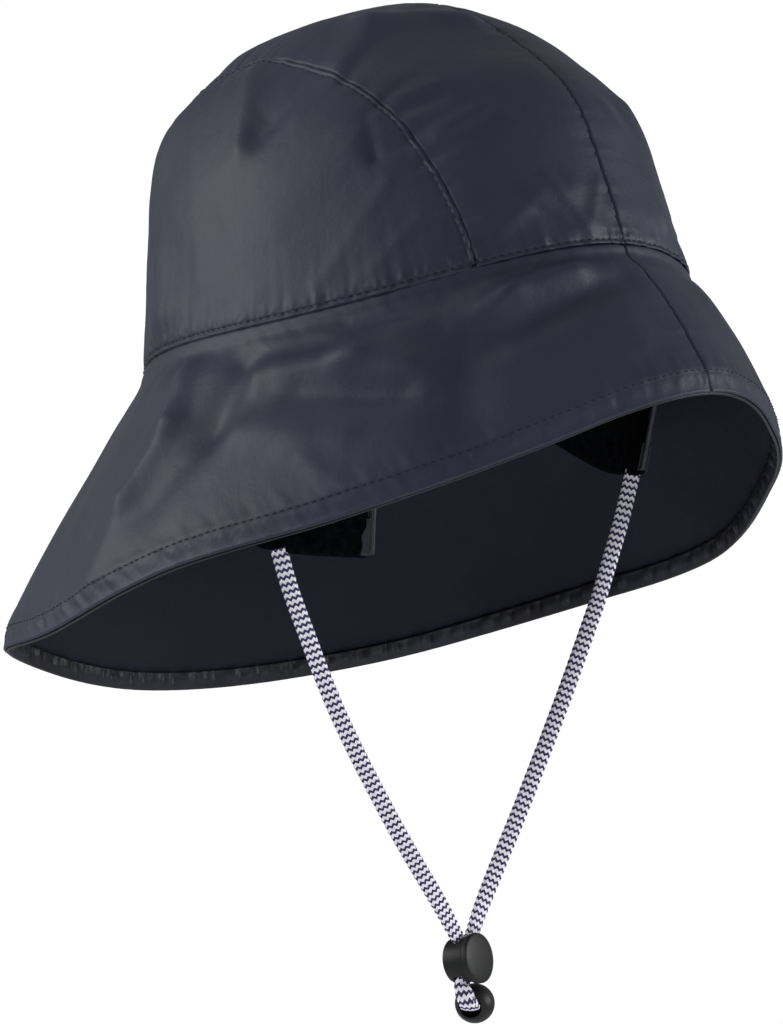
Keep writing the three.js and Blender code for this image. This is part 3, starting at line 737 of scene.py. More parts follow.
def stitches(name, line, tree, length=STITCH_LENGTH, gap=STITCH_GAP, size=STITCH_RADIUS):
    """A row of stitches laid on a surface along a line."""
    arc = arc_along(line)
    maker = np.random.default_rng(len(line))
    points, faces = [], []
    begin = gap
    while begin + length < arc[-1]:
        spots, outs = [], []
        for share, _, lift in STITCH_RINGS:
            at = begin + share * length
            base = [np.interp(at, arc, line[:, axis]) for axis in range(3)]
            spot, out, _, _ = tree.find_nearest(base)
            spots.append(np.array(spot) + np.array(out) * lift * outward_sign(spot, out))
            outs.append(np.array(out))
        along = unit(spots[-1] - spots[0])
        side = unit(np.cross(along, outs[2]))
        up = np.cross(side, along)
        first = len(points)
        for spot, (_, share, _) in zip(spots, STITCH_RINGS):
            for k in range(STITCH_SIDES):
                angle = 2 * math.pi * k / STITCH_SIDES
                reach = size * share
                points.append(spot + (side * math.cos(angle) + up * math.sin(angle)) * reach)
        faces += [[first + k for k in face] for face in closed_tube_faces(len(STITCH_RINGS), STITCH_SIDES)]
        begin += length + gap + maker.uniform(-STITCH_UNEVEN, STITCH_UNEVEN)
    return make_piece(name, points, faces, [THREAD])


def outward_sign(spot, out):
    return 1 if np.dot(np.array(spot) - np.array(HAT_INSIDE), np.array(out)) > 0 else -1


# The seam lines that cloth is shaped by.
OVER_STEPS = 420
ROUND_STEPS = 900
OVER = np.linspace(0, math.pi, OVER_STEPS)
ARCH_LINES = {side: crown_point(OVER, sign * seam_aside(OVER)) for side, sign in SIDES.items()}
MIDDLE_LINE = crown_point(OVER, 0 * OVER)
ROUND = np.linspace(-math.pi, math.pi, ROUND_STEPS)
BAND_LINE = crown_towards(np.cos(ROUND), np.sin(ROUND), 0 * ROUND)
ABOVE_SEAM = SEAM_GAP / 2 / CROWN_HEIGHT
RADIUS_AT_SEAM = 96.0
LAP = 1.4
SEAM_PINCH = 0.8
PINCH_REACH = 5
MIDDLE_DIP = 0.4
SLIT = 0.12
BRIM_LAP = 0.12


# Ridges and grooves beside a seam: height, distance from the seam, width.
BAND_RIDGES = ((0.4, 0.6, 0.6), (-0.22, 1.75, 0.5), (0.14, 4, 2.2))
BAND_BEADS = ((0.3, 3.4, 1.6),)
BEAD_PERIOD, BEAD_SEED = 6, 31
ARCH_RIDGES = ((0.42, 0.75, 0.55), (-0.14, 1.75, 0.35))
MIDDLE_GROOVE = ((-0.6, 0, 0.5),)
BRIM_GROOVE = ((-0.75, 0, 0.45),)
HEM_RIDGE = ((-0.15, 8, 1.2),)

# Puckers that fade away from a seam: height, period, seed, reach.
BAND_PUCKERS = ((0.3, 11, 1, 9), (0.22, 5, 2, 4))
SIDE_PUCKERS = ((0.26, 12, 3, 7), (0.14, 5.5, 4, 7))
CENTRE_PUCKERS = ((0.3, 12, 3, 8), (0.16, 6, 7, 8))
MIDDLE_PUCKERS = ((0.24, 10, 8, 6), (0.12, 5, 9, 6))
BRIM_SEAM_PUCKERS = ((0.15, 9, 15, 7),)

# Slow waves all over the cloth: height, period, seed.
CLOTH_WAVES = ((0.28, 46, 5), (0.1, 19, 6))

# The band seam is puckered most near the front, this far along it.
PUCKERED_AT = 830
PUCKERED_REACH = 70
PUCKERED_GAIN = 0.8
ROLL_DEPTH = 1.5
ROLL_FROM = 6.5
ROLL_WIDTH = 7


def ridges(gap, rows):
    return sum(height * bump(gap, middle, width) for height, middle, width in rows)


def waves(position, rows):
    return sum(height * wobble(position, period, seed) for height, period, seed in rows)


def puckers(position, gap, rows):
    return sum(
        height * wobble(position, period, seed) * np.exp(-gap / reach)
        for height, period, seed, reach in rows
    )


def band_detail(points):
    """The crown's lower edge: a folded lip, a line of stitching above it, and puckers."""
    gap, position = nearest_on(points, BAND_LINE)
    more = 1 + PUCKERED_GAIN * bump(position, PUCKERED_AT, PUCKERED_REACH)
    beads = ridges(gap, BAND_BEADS) * wobble(position, BEAD_PERIOD, BEAD_SEED)
    return ridges(gap, BAND_RIDGES) + beads + puckers(position, gap, BAND_PUCKERS) * more


def cloth_detail(points):
    return sum(height * rolling(points, period, seed) for height, period, seed in CLOTH_WAVES)


def rim_roll(from_rim):
    """How far the brim's edge rolls inward."""
    return ROLL_DEPTH * smoothstep(ROLL_FROM - from_rim, 0, ROLL_WIDTH)


def lifted(points, height):
    return points + grid_normals(points) * height[..., None]


# How far along the arched seam the side panel starts, as a share of it.
SIDE_START = 0.011

# Steps along and across each cloth, with its length that way.
SIDE_ALONG, SIDE_UP = (230, 330), (120, 120)
CENTRE_ALONG, CENTRE_ASIDE = (260, 320), (70, 66)
BRIM_ROUND, BRIM_DOWN = (300, 430), (110, 95)

# How far from a seam or an edge the cloth's slow waves begin and are full.
BESIDE_ARCH = (0, 12)
BESIDE_SEAM = (0, 10)
BESIDE_RIM = (2, 14)
TUCKED_UNDER = (-0.4, 1.0)
BAND_EDGE = (-1, 0.8)

crown_grids = []
for side, sign in SIDES.items():
    # Side panel, from the band up to the arched seam.
    part = SIDE_START + (1 - 2 * SIDE_START) * spaced(*SIDE_ALONG)[:, None]
    up = spaced(*SIDE_UP)[None]
    over = part * math.pi
    aside = seam_aside(over)
    turn = seam_aside(0.0) + (math.pi - seam_aside(math.pi) - seam_aside(0.0)) * part
    low = np.stack(np.broadcast_arrays(np.cos(turn), np.sin(turn), ABOVE_SEAM + 0 * turn), axis=-1)
    high = np.stack(
        [np.cos(aside) * np.cos(over), np.sin(aside), np.cos(aside) * np.sin(over)], axis=-1)
    middle = unit(low + (high - low) * up[..., None])
    base = crown_towards(middle[..., 0], sign * middle[..., 1], middle[..., 2])
    gap, position = nearest_on(base, ARCH_LINES[side])
    height = band_detail(base) + cloth_detail(base) * smoothstep(gap, *BESIDE_ARCH)
    height += ridges(gap, ARCH_RIDGES) - SEAM_PINCH * np.exp(-gap / PINCH_REACH)
    height += puckers(position, gap, SIDE_PUCKERS)
    grid = lifted(base, height)
    crown_grids.append(grid)
    panel = shell(f"crown_side_{side}", grid, CROWN_WALL, [OUTSIDE, INSIDE], lining=base)
    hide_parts(f"side_panel_{side}")

    # Centre panel, half of the strip over the head. Its edge runs on under the side panel.
    over = ABOVE_SEAM + (math.pi - 2 * ABOVE_SEAM) * spaced(*CENTRE_ALONG)[:, None]
    edge = seam_aside(over) + LAP / RADIUS_AT_SEAM
    start = SLIT / RADIUS_AT_SEAM
    aside = start + (edge - start) * spaced(*CENTRE_ASIDE)[None]
    base = crown_point(over, sign * aside)
    inside_seam = (seam_aside(over) - aside) * RADIUS_AT_SEAM
    gap, position = nearest_on(base, ARCH_LINES[side])
    away, along_middle = nearest_on(base, MIDDLE_LINE)
    height = band_detail(base) + cloth_detail(base) * smoothstep(np.minimum(gap, away), *BESIDE_SEAM)
    height -= 1 - smoothstep(inside_seam, *TUCKED_UNDER) + SEAM_PINCH * np.exp(-gap / PINCH_REACH)
    height += puckers(position, gap, CENTRE_PUCKERS)
    height += ridges(away, MIDDLE_GROOVE) - MIDDLE_DIP * np.exp(-away / PINCH_REACH)
    height += puckers(along_middle, away, MIDDLE_PUCKERS)
    grid = lifted(base, height)
    crown_grids.append(grid)
    panel = shell(f"crown_centre_{side}", grid, CROWN_WALL, [OUTSIDE, INSIDE])
    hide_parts(f"centre_panel_{side}")

# The brim starts just above the band seam, and its cloth is longer round the rim than round the band.
BRIM_START = -0.014
RIM_GAIN = 0.45
TOP_DROP = 0.5
HEM_STEP = 0.3
HEM_STEP_FROM = 7
BRIM_DIP = 0.25
BRIM_DIP_REACH = 4

# Puckers round the brim: height, period, seed. Then where each row of them lies: distance, width.
BAND_WAVES = ((0.12, 13, 11),)
HEM_WAVES = ((0.34, 11, 12), (0.1, 5.5, 13))
RIM_WAVES = ((0.2, 12, 14),)
HEM_RIPPLES = ((0.9, 9, 21), (0.4, 4.5, 22))
BELOW_BAND = (5, 6)
ON_HEM = (3.6, 2.6)
ABOVE_HEM = (10, 4)

# The hem is puckered most towards the back, between these turns.
BACK_GAIN = 0.9
BACK_TURNS = (1.1, 1.8)

brim_grids = []
for side, sign in SIDES.items():
    start = -BRIM_LAP / HALF_LENGTH
    turn = sign * (start + (math.pi - 2 * start) * spaced(*BRIM_ROUND)[:, None])
    down = BRIM_START + (1 - BRIM_START) * spaced(*BRIM_DOWN)[None]
    base = brim_point(turn, down)
    length = read_ring(BRIM_LENGTHS, turn)
    from_band = length * down
    from_rim = length * (1 - down)
    around = HALF_LENGTH * turn * (1 + RIM_GAIN * down)
    to_front = np.abs(turn) * HALF_LENGTH
    to_back = (math.pi - np.abs(turn)) * HALF_LENGTH
    height = cloth_detail(base) * smoothstep(from_band, *BESIDE_SEAM) * smoothstep(from_rim, *BESIDE_RIM)
    height -= TOP_DROP * (1 - smoothstep(from_band, *BAND_EDGE))
    height += waves(around, BAND_WAVES) * bump(from_band, *BELOW_BAND)
    more = 1 + BACK_GAIN * smoothstep(np.abs(turn), *BACK_TURNS)
    height += waves(around, HEM_WAVES) * more * bump(from_rim, *ON_HEM)
    height -= HEM_STEP * smoothstep(HEM_STEP_FROM - from_rim, 0, 1.2) + ridges(from_rim, HEM_RIDGE)
    height -= rim_roll(from_rim)
    height += waves(around, RIM_WAVES) * bump(from_rim, *ABOVE_HEM)
    for away in (to_front, to_back):
        height += ridges(away, BRIM_GROOVE) - BRIM_DIP * np.exp(-away / BRIM_DIP_REACH)
        height += puckers(from_band, away, BRIM_SEAM_PUCKERS)
    grid = lifted(base, height)
    brim_grids.append(grid)
    lining = lifted(base, -rim_roll(from_rim))
    half = shell(f"brim_cloth_{side}", grid, BRIM_WALL, [OUTSIDE, INSIDE], lining=lining)
    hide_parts(f"brim_{side}")

# The hem, turned under all round.
HEM_ROUND_STEPS = 900
HEM_STEPS = 15
HEM_SUNK = 0.15
HEM_BULGE = 0.3
HEM_LOOSE = 0.35
HEM_BULGE_AT = (0.45, 0.3)
HEM_RIPPLE_AT = (0.25, 0.35)
turn = np.linspace(0, 2 * math.pi, HEM_ROUND_STEPS, endpoint=False)[:, None]
length = read_ring(BRIM_LENGTHS, turn)
share = np.linspace(0, 1, HEM_STEPS)[None]
down = 1 - HEM_WIDTH / length * (1 - share) + HEM_PROUD / length * share
base = brim_point(turn, down)
around = HALF_LENGTH * turn * (1 + RIM_GAIN)
round_trip = HALF_LENGTH * 2 * math.pi * (1 + RIM_GAIN)
ripple = waves(around, HEM_RIPPLES)
ripple *= smoothstep(around, *BESIDE_ARCH) * smoothstep(round_trip - around, *BESIDE_ARCH)
inward = BRIM_WALL + SEAM_GAP - HEM_SUNK + HEM_BULGE * bump(share, *HEM_BULGE_AT)
inward = inward + ripple * bump(share, *HEM_RIPPLE_AT) + HEM_LOOSE * (1 - share)
inward += rim_roll(HEM_WIDTH * (1 - share))
grid = base - grid_normals(base, True) * inward[..., None]
# The hem's darker colour is painted shade.
hem = shell("hem_strip", grid, HEM_WALL, [HEM], closed=True, slot="hem_cloth")
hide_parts("brim_hem")

# Rows of stitching.
crown_tree = surface_tree(crown_grids)
brim_tree = surface_tree(brim_grids)
BAND_STITCH_ABOVE = 1.75
ARCH_STITCH_ASIDE = 1.7
MIDDLE_STITCH_ASIDE = 0.9
RIM_STITCH_IN = 6.5
CLOSE_GAP = 0.6
SEWN_FROM = 4
SEWN_STEPS = 400
rise = BAND_STITCH_ABOVE / CROWN_HEIGHT
band_row = crown_towards(
    np.cos(ROUND) * math.cos(rise), np.sin(ROUND) * math.cos(rise), math.sin(rise) + 0 * ROUND)
stitches("band_stitches", band_row, crown_tree, gap=CLOSE_GAP)
sewn = np.linspace(math.radians(SEWN_FROM), math.radians(180 - SEWN_FROM), SEWN_STEPS)
for side, sign in SIDES.items():
    aside = seam_aside(sewn) + ARCH_STITCH_ASIDE / RADIUS_AT_SEAM
    stitches(f"arch_stitches_{side}", crown_point(sewn, sign * aside), crown_tree, size=0.15)
middle_row = crown_point(sewn, MIDDLE_STITCH_ASIDE / RADIUS_AT_SEAM + 0 * sewn)
stitches("middle_stitches", middle_row, crown_tree, length=1.5, gap=1.4, size=0.17)
rim_row = brim_point(ROUND, 1 - RIM_STITCH_IN / read_ring(BRIM_LENGTHS, ROUND))
stitches("rim_stitches", rim_row, brim_tree, gap=CLOSE_GAP)


# Ear flaps.
FLAP_INSET = BRIM_WALL + 2 * SEAM_GAP


def squared(wave, power):
    """A round wave made squarer, for the section of a flattened cord or strip."""
    return np.sign(wave) * np.abs(wave) ** power


def flap_point(side, across, down):
    turn = np.radians(FLAP_FRONT_TURN + (FLAP_BACK_TURN - FLAP_FRONT_TURN) * across)
    sign, drop = SIDES[side], FLAP_DROP[side]
    top = place(
        (HALF_LENGTH - FLAP_INSET) * np.cos(turn),
        sign * (HALF_WIDTH - FLAP_INSET) * np.sin(turn),
        band_height(turn) - SEAM_GAP,
    )
    free = place(
        HALF_LENGTH * read_table(FLAP_EDGE, 1, across),
        sign * HALF_WIDTH * read_table(FLAP_EDGE, 2, across),
        -drop * read_table(FLAP_EDGE, 3, across),
    )
    return top + (free - top) * np.asarray(down)[..., None]


TAB_START = {"right": 0.86, "left": 0.84}
TAB_ACROSS = 0.03
TAB_FRONT = -0.026
TAB_EDGE = 0.004
TAB_WALL = 0.7
FLAP_STEPS = 70
SOFTNESS = 0.14
FREE_EDGE = 0.2
BOUND_EDGE = 0.3
BINDING_STEPS = 60
BINDING_TOP = 0.04
BINDING_SIDES = 24
BINDING_SQUARENESS = 0.7
BINDING_WAVES = ((0.12, 14, 33),)
BEHIND_EDGE = 0.05
TAB_ROWS, TAB_COLUMNS = 24, 8

for side, sign in SIDES.items():
    across = np.linspace(0, 1, FLAP_STEPS + 1)[:, None]
    down = np.linspace(0, 1, FLAP_STEPS + 1)[None]
    base = flap_point(side, *np.broadcast_arrays(across, down))
    middle = (0.0, 0.0, -FLAP_DROP[side] / 2)
    normals = grid_normals(base, False, middle)
    soft = SOFTNESS * rolling(base, 30, 31) * smoothstep(down, 0, 0.2) + FREE_EDGE * bump(down, 0.97, 0.02)
    grid = base + normals * (soft - BOUND_EDGE * bump(across, 0, 0.03))[..., None]
    # The fleece colour of each flap holds painted shade for the brim's shadow.
    flap = shell(f"flap_{side}", grid, FLAP_WALL, [FLEECE], level=True, inside=middle, slot="fleece")
    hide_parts(f"ear_flap_{side}")

    # The binding on the flap's front edge, with the turned-back tab at its lower end.
    shares = np.linspace(BINDING_TOP, 1, BINDING_STEPS)
    outer = flap_point(side, np.zeros(BINDING_STEPS), shares)
    behind = flap_point(side, np.full(BINDING_STEPS, BEHIND_EDGE), shares)
    ahead = unit(outer - behind)
    edge_out = unit(normals[0][(shares * FLAP_STEPS).astype(int)] * (1, 1, 0))
    core = outer - edge_out * FLAP_WALL / 2 + ahead * (SEAM_GAP + FLAP_BINDING_WIDTH / 2)
    angles = np.linspace(0, 2 * math.pi, BINDING_SIDES, endpoint=False)
    long_way = squared(np.cos(angles), BINDING_SQUARENESS) * FLAP_BINDING_WIDTH / 2.1
    short_way = squared(np.sin(angles), BINDING_SQUARENESS) * FLAP_BINDING_WIDTH / 2.2
    fold_line = waves(shares * FLAP_DROP[side], BINDING_WAVES)
    tube = (
        core[:, None]
        + ahead[:, None] * (long_way[None, :, None] + fold_line[:, None, None])
        + edge_out[:, None] * short_way[None, :, None]
    )
    faces = closed_tube_faces(BINDING_STEPS, BINDING_SIDES)
    flap_edge = make_piece(f"flap_edge_{side}", tube.reshape(-1, 3), faces, [BINDING])
    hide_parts(f"flap_binding_{side}")

    tab_start = TAB_START[side]
    tab_down = np.linspace(tab_start, 1.0, TAB_ROWS)[None]
    wide_from = tab_start + 0.6 * (1 - tab_start)
    tab_reach = TAB_EDGE + (TAB_ACROSS - TAB_EDGE) * smoothstep(tab_down, tab_start, wide_from)
    tab_reach += TAB_EDGE * np.sin(tab_down * 90)
    tab_part = np.linspace(0, 1, TAB_COLUMNS)[:, None]
    tab = flap_point(side, *np.broadcast_arrays(
        TAB_FRONT + (tab_reach - TAB_FRONT) * tab_part, tab_down + 0 * tab_part))
    tab_out = grid_normals(tab, False, middle)
    for face_name, offset in (("outside", 0.45), ("inside", -FLAP_WALL + 0.15)):
        shell(f"flap_tab_{face_name}_{side}", tab + tab_out * offset, TAB_WALL, [BINDING], inside=middle)


# The chin cord: a strand from each flap, through the lock, into the ball.
PATH_STEP = 0.35
PART_STEPS = 40
LINE_POINTS = 40


def smooth_path(route):
    """A curve through the points of a route, and how far along each point of it is."""
    points = np.array(route, float)
    padded = np.concatenate([[2 * points[0] - points[1]], points, [2 * points[-1] - points[-2]]])
    curve = []
    for k in range(len(points) - 1):
        a, b, c, d = padded[k:k + 4]
        part = np.linspace(0, 1, PART_STEPS, endpoint=False)[:, None]
        curve.append(between(a, b, c, d, part))
    curve = np.concatenate(curve + [points[-1:]])
    arc = arc_along(curve)
    at = np.linspace(0, arc[-1], int(arc[-1] / PATH_STEP) + 1)
    return np.stack([np.interp(at, arc, curve[:, k]) for k in range(3)], axis=-1), at


def level_towards(angle):
    return np.array([math.cos(angle), math.sin(angle), 0])


def facing(turn, rise):
    """Which way is across and which way is ahead for a round piece."""
    turn, rise = math.radians(turn), math.radians(rise)
    ahead = [math.cos(rise) * math.sin(turn), -math.cos(rise) * math.cos(turn), math.sin(rise)]
    return level_towards(turn), np.array(ahead)


LOCK_WIDE, LOCK_ALONG = facing(LOCK_TURN, LOCK_TILT_UP)
LOCK_UP = np.cross(LOCK_ALONG, LOCK_WIDE)
roll = math.radians(LOCK_ROLL)
LOCK_THROUGH = LOCK_UP * math.cos(roll) - LOCK_WIDE * math.sin(roll)
TAIL_WIDE = np.array([0.473, -0.881, 0])
PINCH = 0.5
SEWN_IN = 2.8
HALF_LOCK_RUN = 4.6
TAIL_LEAN = 0.6
PERIMETER_STEPS = 40
BRAID_RELIEF = 0.11
THIN_RELIEF = 0.8
WIDE_SQUARENESS, THIN_SQUARENESS = 0.62, 0.72
GRIP_EASE, GRIP_INSIDE = 5, 1


def strand(name, route, lock_shift, tail_shift, tail_side):
    top = [np.array(p, float) for p in route]
    top.insert(0, top[0] + unit(top[0] - top[1]) * SEWN_IN)
    held = LOCK_CENTRE + LOCK_ALONG * lock_shift
    run = LOCK_THROUGH * HALF_LOCK_RUN
    inside = [held + run, held, held - run - LOCK_WIDE * TAIL_LEAN]
    tail = [
        np.array(p) + TAIL_WIDE * tail_side * smoothstep(k, 0, 4) + tail_shift
        for k, p in enumerate(TAIL)
    ]
    points = top + inside + tail
    path, at = smooth_path(points)
    tangent = unit(np.gradient(path, axis=0))
    keys = (top[0], top[-3], inside[0], inside[-1], tail[3], tail[-1])
    key_at = [at[np.linalg.norm(path - p, axis=1).argmin()] for p in keys]
    turning = unit(CAMERA_RIGHT + 0.35 * LOCK_WIDE)
    key_wide = [CAMERA_RIGHT, turning, LOCK_WIDE, LOCK_WIDE, TAIL_WIDE, TAIL_WIDE]
    wide = np.stack([np.interp(at, key_at, [w[k] for w in key_wide]) for k in range(3)], axis=-1)
    wide = unit(wide - (wide * tangent).sum(-1, keepdims=True) * tangent)
    thin = np.cross(tangent, wide)
    _, _, enters, leaves, _, _ = key_at
    in_lock = smoothstep(at, enters - GRIP_EASE, enters + GRIP_INSIDE)
    in_lock *= 1 - smoothstep(at, leaves + GRIP_INSIDE, leaves + GRIP_EASE)
    thickness = CORD_THICKNESS / 2 * (1 - (1 - PINCH) * in_lock)
    angles = np.linspace(0, 2 * math.pi, PERIMETER_STEPS + 1)
    x = squared(np.cos(angles), WIDE_SQUARENESS)
    y = squared(np.sin(angles), THIN_SQUARENESS)
    arc = arc_along(np.stack([x * CORD_WIDTH / 2, y * CORD_THICKNESS / 2], axis=-1))
    across = arc / arc[-1]
    rows = at / ROW_PERIOD
    tooth = np.abs((across * TOOTH_PERIOD_COUNT) % 1 - 0.5) * 2
    relief = BRAID_RELIEF * np.sin(2 * math.pi * (rows[:, None] + tooth[None] * TOOTH_HEIGHT))
    section = (
        wide[:, None] * (x[None, :, None] * (CORD_WIDTH / 2 + relief[..., None]))
        + thin[:, None] * (y[None, :, None] * (thickness[:, None, None] + relief[..., None] * THIN_RELIEF))
    )
    surface = path[:, None] + section
    rings, size = len(at), PERIMETER_STEPS
    points_3d = surface[:, :-1].reshape(-1, 3)
    quads = np.array(tube_faces(rings, size))
    spots = np.stack(np.meshgrid(across, rows), axis=-1)
    corners = np.stack([spots[:-1, :-1], spots[:-1, 1:], spots[1:, 1:], spots[1:, :-1]], axis=2)
    corners = corners.reshape(-1, 4, 2)
    if volume_of(points_3d, quads) < 0:
        quads = quads[:, ::-1]
        corners = corners[:, ::-1]
    faces = quads.tolist() + [list(range(size)), [(rings - 1) * size + k for k in range(size)]]
    piece = make_piece(name, points_3d, faces, [BRAID], slot="braid")
    layer = piece.data.uv_layers.new(name="braid")
    coords = np.zeros((len(piece.data.loops), 2))
    coords[:len(corners) * 4] = corners.reshape(-1, 2)
    layer.data.foreach_set("uv", coords.reshape(-1))
    line = path[np.linspace(0, len(path) - 1, LINE_POINTS).astype(int)]
    return piece, at[-1], top[0], line


BRAID = braid()
RIGHT_TAIL_SHIFT = np.array([0, 0, 0])
LEFT_TAIL_SHIFT = np.array([0.9, 1.1, 0.15])
strands = [
    strand("strand_right", STRAND_RIGHT, 1.3, RIGHT_TAIL_SHIFT, -0.7),
    strand("strand_left", STRAND_LEFT, 0, LEFT_TAIL_SHIFT, 0.5),
]
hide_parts("chin_cord_right", "cord_tail")
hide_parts("chin_cord_left")


# The lock and the ball.
def turned(profile, segments=96):
    """A round solid about Z from pairs of radius and height, closed on the axis."""
    points, faces = [], []
    for radius, height in profile[1:-1]:
        for k in range(segments):
            angle = 2 * math.pi * k / segments
            points.append((radius * math.cos(angle), radius * math.sin(angle), height))
    rings = len(profile) - 2
    faces += tube_faces(rings, segments)
    first, last = len(points), len(points) + 1
    points += [(0, 0, profile[0][1]), (0, 0, profile[-1][1])]
    for k in range(segments):
        other = (k + 1) % segments
        faces.append([first, other, k])
        faces.append([last, (rings - 1) * segments + k, (rings - 1) * segments + other])
    return points, faces


def fillet(corner, before, after, radius, count=5):
    """Points of a rounded corner of a profile."""
    corner, before, after = (np.array(p, float) for p in (corner, before, after))
    start = corner + unit(before - corner) * radius
    end = corner + unit(after - corner) * radius
    part = np.linspace(0, 1, count)[:, None]
    curve = (1 - part) ** 2 * start + 2 * part * (1 - part) * corner + part**2 * end
    return [tuple(p) for p in curve]


def rounded_profile(profile, radii):
    made = [profile[0]]
    for k in range(1, len(profile) - 1):
        if radii.get(k):
            made += fillet(profile[k], profile[k - 1], profile[k + 1], radii[k])
        else:
            made.append(profile[k])
    return made + [profile[-1]]


def temporary(name, points, faces):
    mesh = bpy.data.meshes.new(name)
    mesh.from_pydata([tuple(p) for p in points], [], faces)
    mesh.update()
    return add(name, mesh)


def box(width, depth, height, up):
    """A box across the lock, turned about its axis as the lock's channel is."""
    half = np.array([width, depth, height]) / 2
    across, through = level_towards(roll), level_towards(roll + math.pi / 2)
    corners = [across * x * half[0] + through * y * half[1] + np.array([0, 0, z * half[2] + up])
               for x in (-1, 1) for y in (-1, 1) for z in (-1, 1)]
    faces = [[0, 1, 3, 2], [4, 6, 7, 5], [0, 4, 5, 1], [2, 3, 7, 6], [0, 2, 6, 4], [1, 5, 7, 3]]
    return corners, faces


def carved(name, body_mesh, cut_mesh, bevel, matrix, body="hat"):
    """A solid with a channel cut through it and its new edges softened."""
    solid = temporary(name + "_solid", *body_mesh)
    cutter = temporary(name + "_cutter", *cut_mesh)
    cut = solid.modifiers.new("cut", "BOOLEAN")
    cut.operation = "DIFFERENCE"
    cut.object = cutter
    cut.solver = "EXACT"
    soften = solid.modifiers.new("soften", "BEVEL")
    soften.width = bevel
    soften.segments = 3
    soften.limit_method = "ANGLE"
    soften.angle_limit = math.radians(50)
    graph = bpy.context.evaluated_depsgraph_get()
    result = bpy.data.meshes.new_from_object(solid.evaluated_get(graph))
    points = np.array([tuple(v.co) for v in result.vertices])
    faces = [list(p.vertices) for p in result.polygons]
    for thing in (solid, cutter):
        bpy.data.objects.remove(thing)
    placed = points @ np.array(matrix[0]).T + matrix[1]
    piece = make_piece(name, placed, faces, [PLASTIC], body=body, slot="black_plastic")
    piece.data.set_sharp_from_angle(angle=math.radians(38))
    return piece


CHANNEL_REACH = 60
BARREL_BEVEL = 0.35
BUTTON_BEVEL = 0.1
barrel_back = -BARREL_LENGTH / 2 - (BARREL_BACK_WALL - PLUNGER_END_WALL) / 2
barrel_front = barrel_back + BARREL_LENGTH
outer, bore = BARREL_DIAMETER / 2, BORE / 2
barrel_profile = rounded_profile([
    (0, barrel_back), (outer, barrel_back), (outer, barrel_front), (bore, barrel_front),
    (bore, barrel_back + BARREL_BACK_WALL), (0, barrel_back + BARREL_BACK_WALL),
], {1: 1.3, 2: 0.5, 3: 0.25})
lock_matrix = (np.stack([LOCK_WIDE, LOCK_UP, LOCK_ALONG], axis=1), LOCK_CENTRE)
barrel_channel = box(CHANNEL_WIDTH, CHANNEL_REACH, CHANNEL_LENGTH, 0)
lock_barrel = carved("barrel", turned(barrel_profile), barrel_channel, BARREL_BEVEL, lock_matrix)
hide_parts("lock_barrel")

plunger = BORE / 2 - LOCK_CLEARANCE
lip = barrel_front + LOCK_CLEARANCE
cap_floor = lip + LOCK_TRAVEL
end = barrel_back + BARREL_BACK_WALL + LOCK_CLEARANCE + LOCK_TRAVEL
skirt = BARREL_DIAMETER / 2 + BUTTON_SKIRT_PLAY
rim = BUTTON_DIAMETER / 2
shoulder = lip + BUTTON_RIM
dome = [
    (rim * math.cos(a), shoulder + BUTTON_DOME * math.sin(a)) for a in np.linspace(0, math.pi / 2, 16)[1:-1]]
button_profile = rounded_profile([
    (0, end), (plunger, end), (plunger, cap_floor), (skirt, cap_floor), (skirt, lip), (rim, lip),
    (rim, shoulder), *dome, (0, shoulder + BUTTON_DOME),
], {5: 0.25})
slot_end = end + PLUNGER_END_WALL
slot_length = cap_floor - slot_end
button_slot = box(CHANNEL_WIDTH, BORE, slot_length, slot_end + slot_length / 2)
lock_button = carved("button", turned(button_profile), button_slot, BUTTON_BEVEL, lock_matrix, body="button")
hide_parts("lock_button")

radius, mouth = BALL_DIAMETER / 2, BALL_MOUTH / 2
flat = math.asin(mouth / radius) + 0.08
face = radius * math.cos(flat)
floor_at = face - BALL_MOUTH_DEPTH
ball_profile = [(0, -radius)] + [
    (radius * math.sin(a), radius * math.cos(a)) for a in np.linspace(math.pi, flat, 40)[1:]]
ball_profile += [
    (mouth + 0.05, face - 0.05), (mouth, face - 0.35), (mouth, face - 3),
    (mouth, floor_at + 0.6), (mouth - 0.6, floor_at), (0, floor_at),
]
points, faces = turned(ball_profile)
beside, ahead = facing(BALL_TURN, -BALL_TILT_DOWN)
ball_matrix = np.stack([beside, np.cross(ahead, beside), ahead], axis=1)
placed = np.array(points) @ ball_matrix.T + BALL_CENTRE
cord_ball = make_piece("ball", placed, faces, [PLASTIC], slot="black_plastic")
cord_ball.data.set_sharp_from_angle(angle=math.radians(50))
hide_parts("cord_ball")

for piece, length, exit_point, line in strands:
    exit_point * MILLIMETRE
    length * MILLIMETRE
    line * MILLIMETRE


# Camera, floor and light.
camera_data = bpy.data.cameras.new("camera")
camera_data.lens = CAMERA_LENS
camera_data.sensor_width = 36
camera = add("camera", camera_data)
camera.location = CAMERA_PLACE
camera.rotation_euler = Vector(CAMERA_TOWARDS).to_track_quat("-Z", "Y").to_euler()
bpy.context.scene.camera = camera

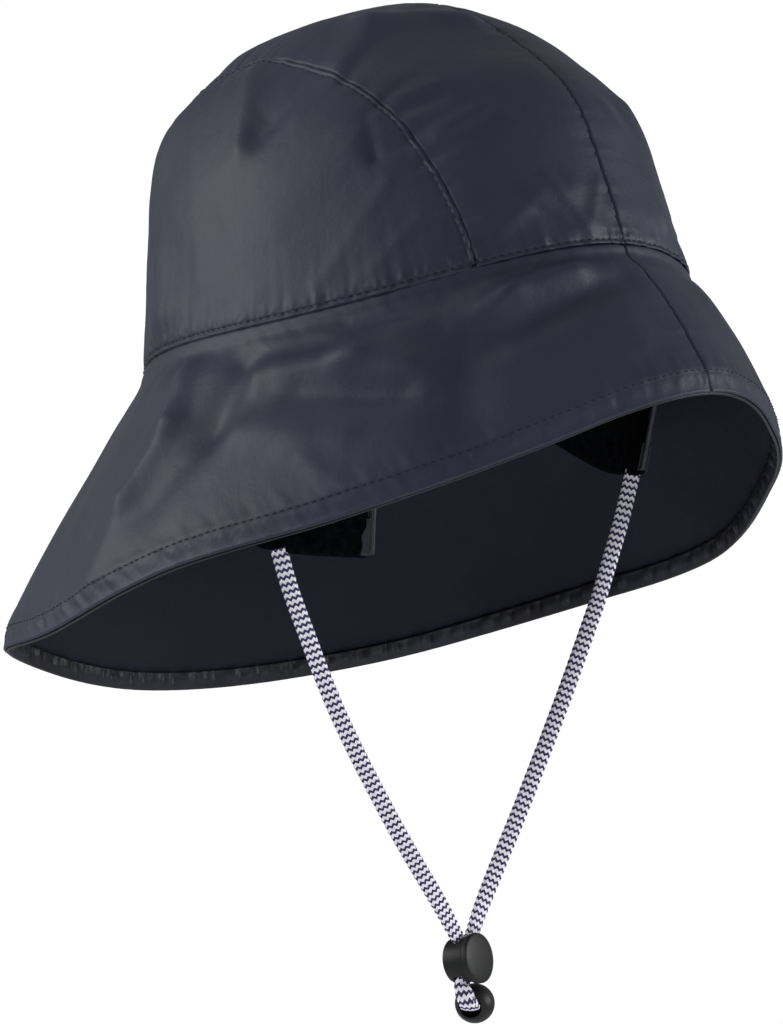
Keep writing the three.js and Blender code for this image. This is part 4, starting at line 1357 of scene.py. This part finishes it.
FLOOR_HEIGHT = -0.95
FLOOR_SIZE = 1.3
floor_mesh = bpy.data.meshes.new("floor")
floor_corners = [
    (x * FLOOR_SIZE, y * FLOOR_SIZE, FLOOR_HEIGHT) for x, y in ((-1, -1), (1, -1), (1, 1), (-1, 1))]
floor_mesh.from_pydata(floor_corners, [], [[0, 1, 2, 3]])
floor_finish = Finish("floor", 0.9, 0.2)
floor_finish.colour(floor_finish.mix(floor_finish.noise(3, 2), (0.86, 0.86, 0.87), (0.9, 0.9, 0.9)))
floor_mesh.materials.append(floor_finish.material)
floor = add("floor", floor_mesh)

# The backdrop is white, and lights the hat less than it shows.
WORLD_SEEN = 0.71
WORLD_LIGHT = 0.31
world = bpy.data.worlds.new("studio")
world.use_nodes = True
background = world.node_tree.nodes["Background"]
background.inputs["Color"].default_value = (1, 1, 1, 1)
path_node = world.node_tree.nodes.new("ShaderNodeLightPath")
strength = world.node_tree.nodes.new("ShaderNodeMath")
strength.operation = "MULTIPLY_ADD"
strength.inputs[1].default_value = WORLD_SEEN
strength.inputs[2].default_value = WORLD_LIGHT
world.node_tree.links.new(path_node.outputs["Is Camera Ray"], strength.inputs[0])
world.node_tree.links.new(strength.outputs[0], background.inputs["Strength"])
bpy.context.scene.world = world


def soft_light(name, place_at, aim, size, power):
    data = bpy.data.lights.new(name, "AREA")
    data.shape = "DISK"
    data.size = size
    data.energy = power
    light = add(name, data)
    light.location = place_at
    light.rotation_euler = (Vector(aim) - Vector(place_at)).to_track_quat("-Z", "Y").to_euler()


# Each light: name, place, what it points at, size, power.
HAT = (0, 0, 0)
CHIN = (0, 0, -0.18)
LIGHTS = (
    ("key", (-1.4, 1.45, 0.55), HAT, 1.3, 24),
    ("side", (-1.75, 0.25, 0.7), HAT, 0.9, 7),
    ("right", (1.25, -1.35, 0.25), HAT, 0.8, 24),
    ("top", (-0.35, 0.4, 1.6), HAT, 0.8, 2),
    ("low", (-0.9, -1.3, -0.7), CHIN, 0.6, 6),
)
for light_row in LIGHTS:
    soft_light(*light_row)

bpy.context.scene.view_settings.view_transform = "Standard"
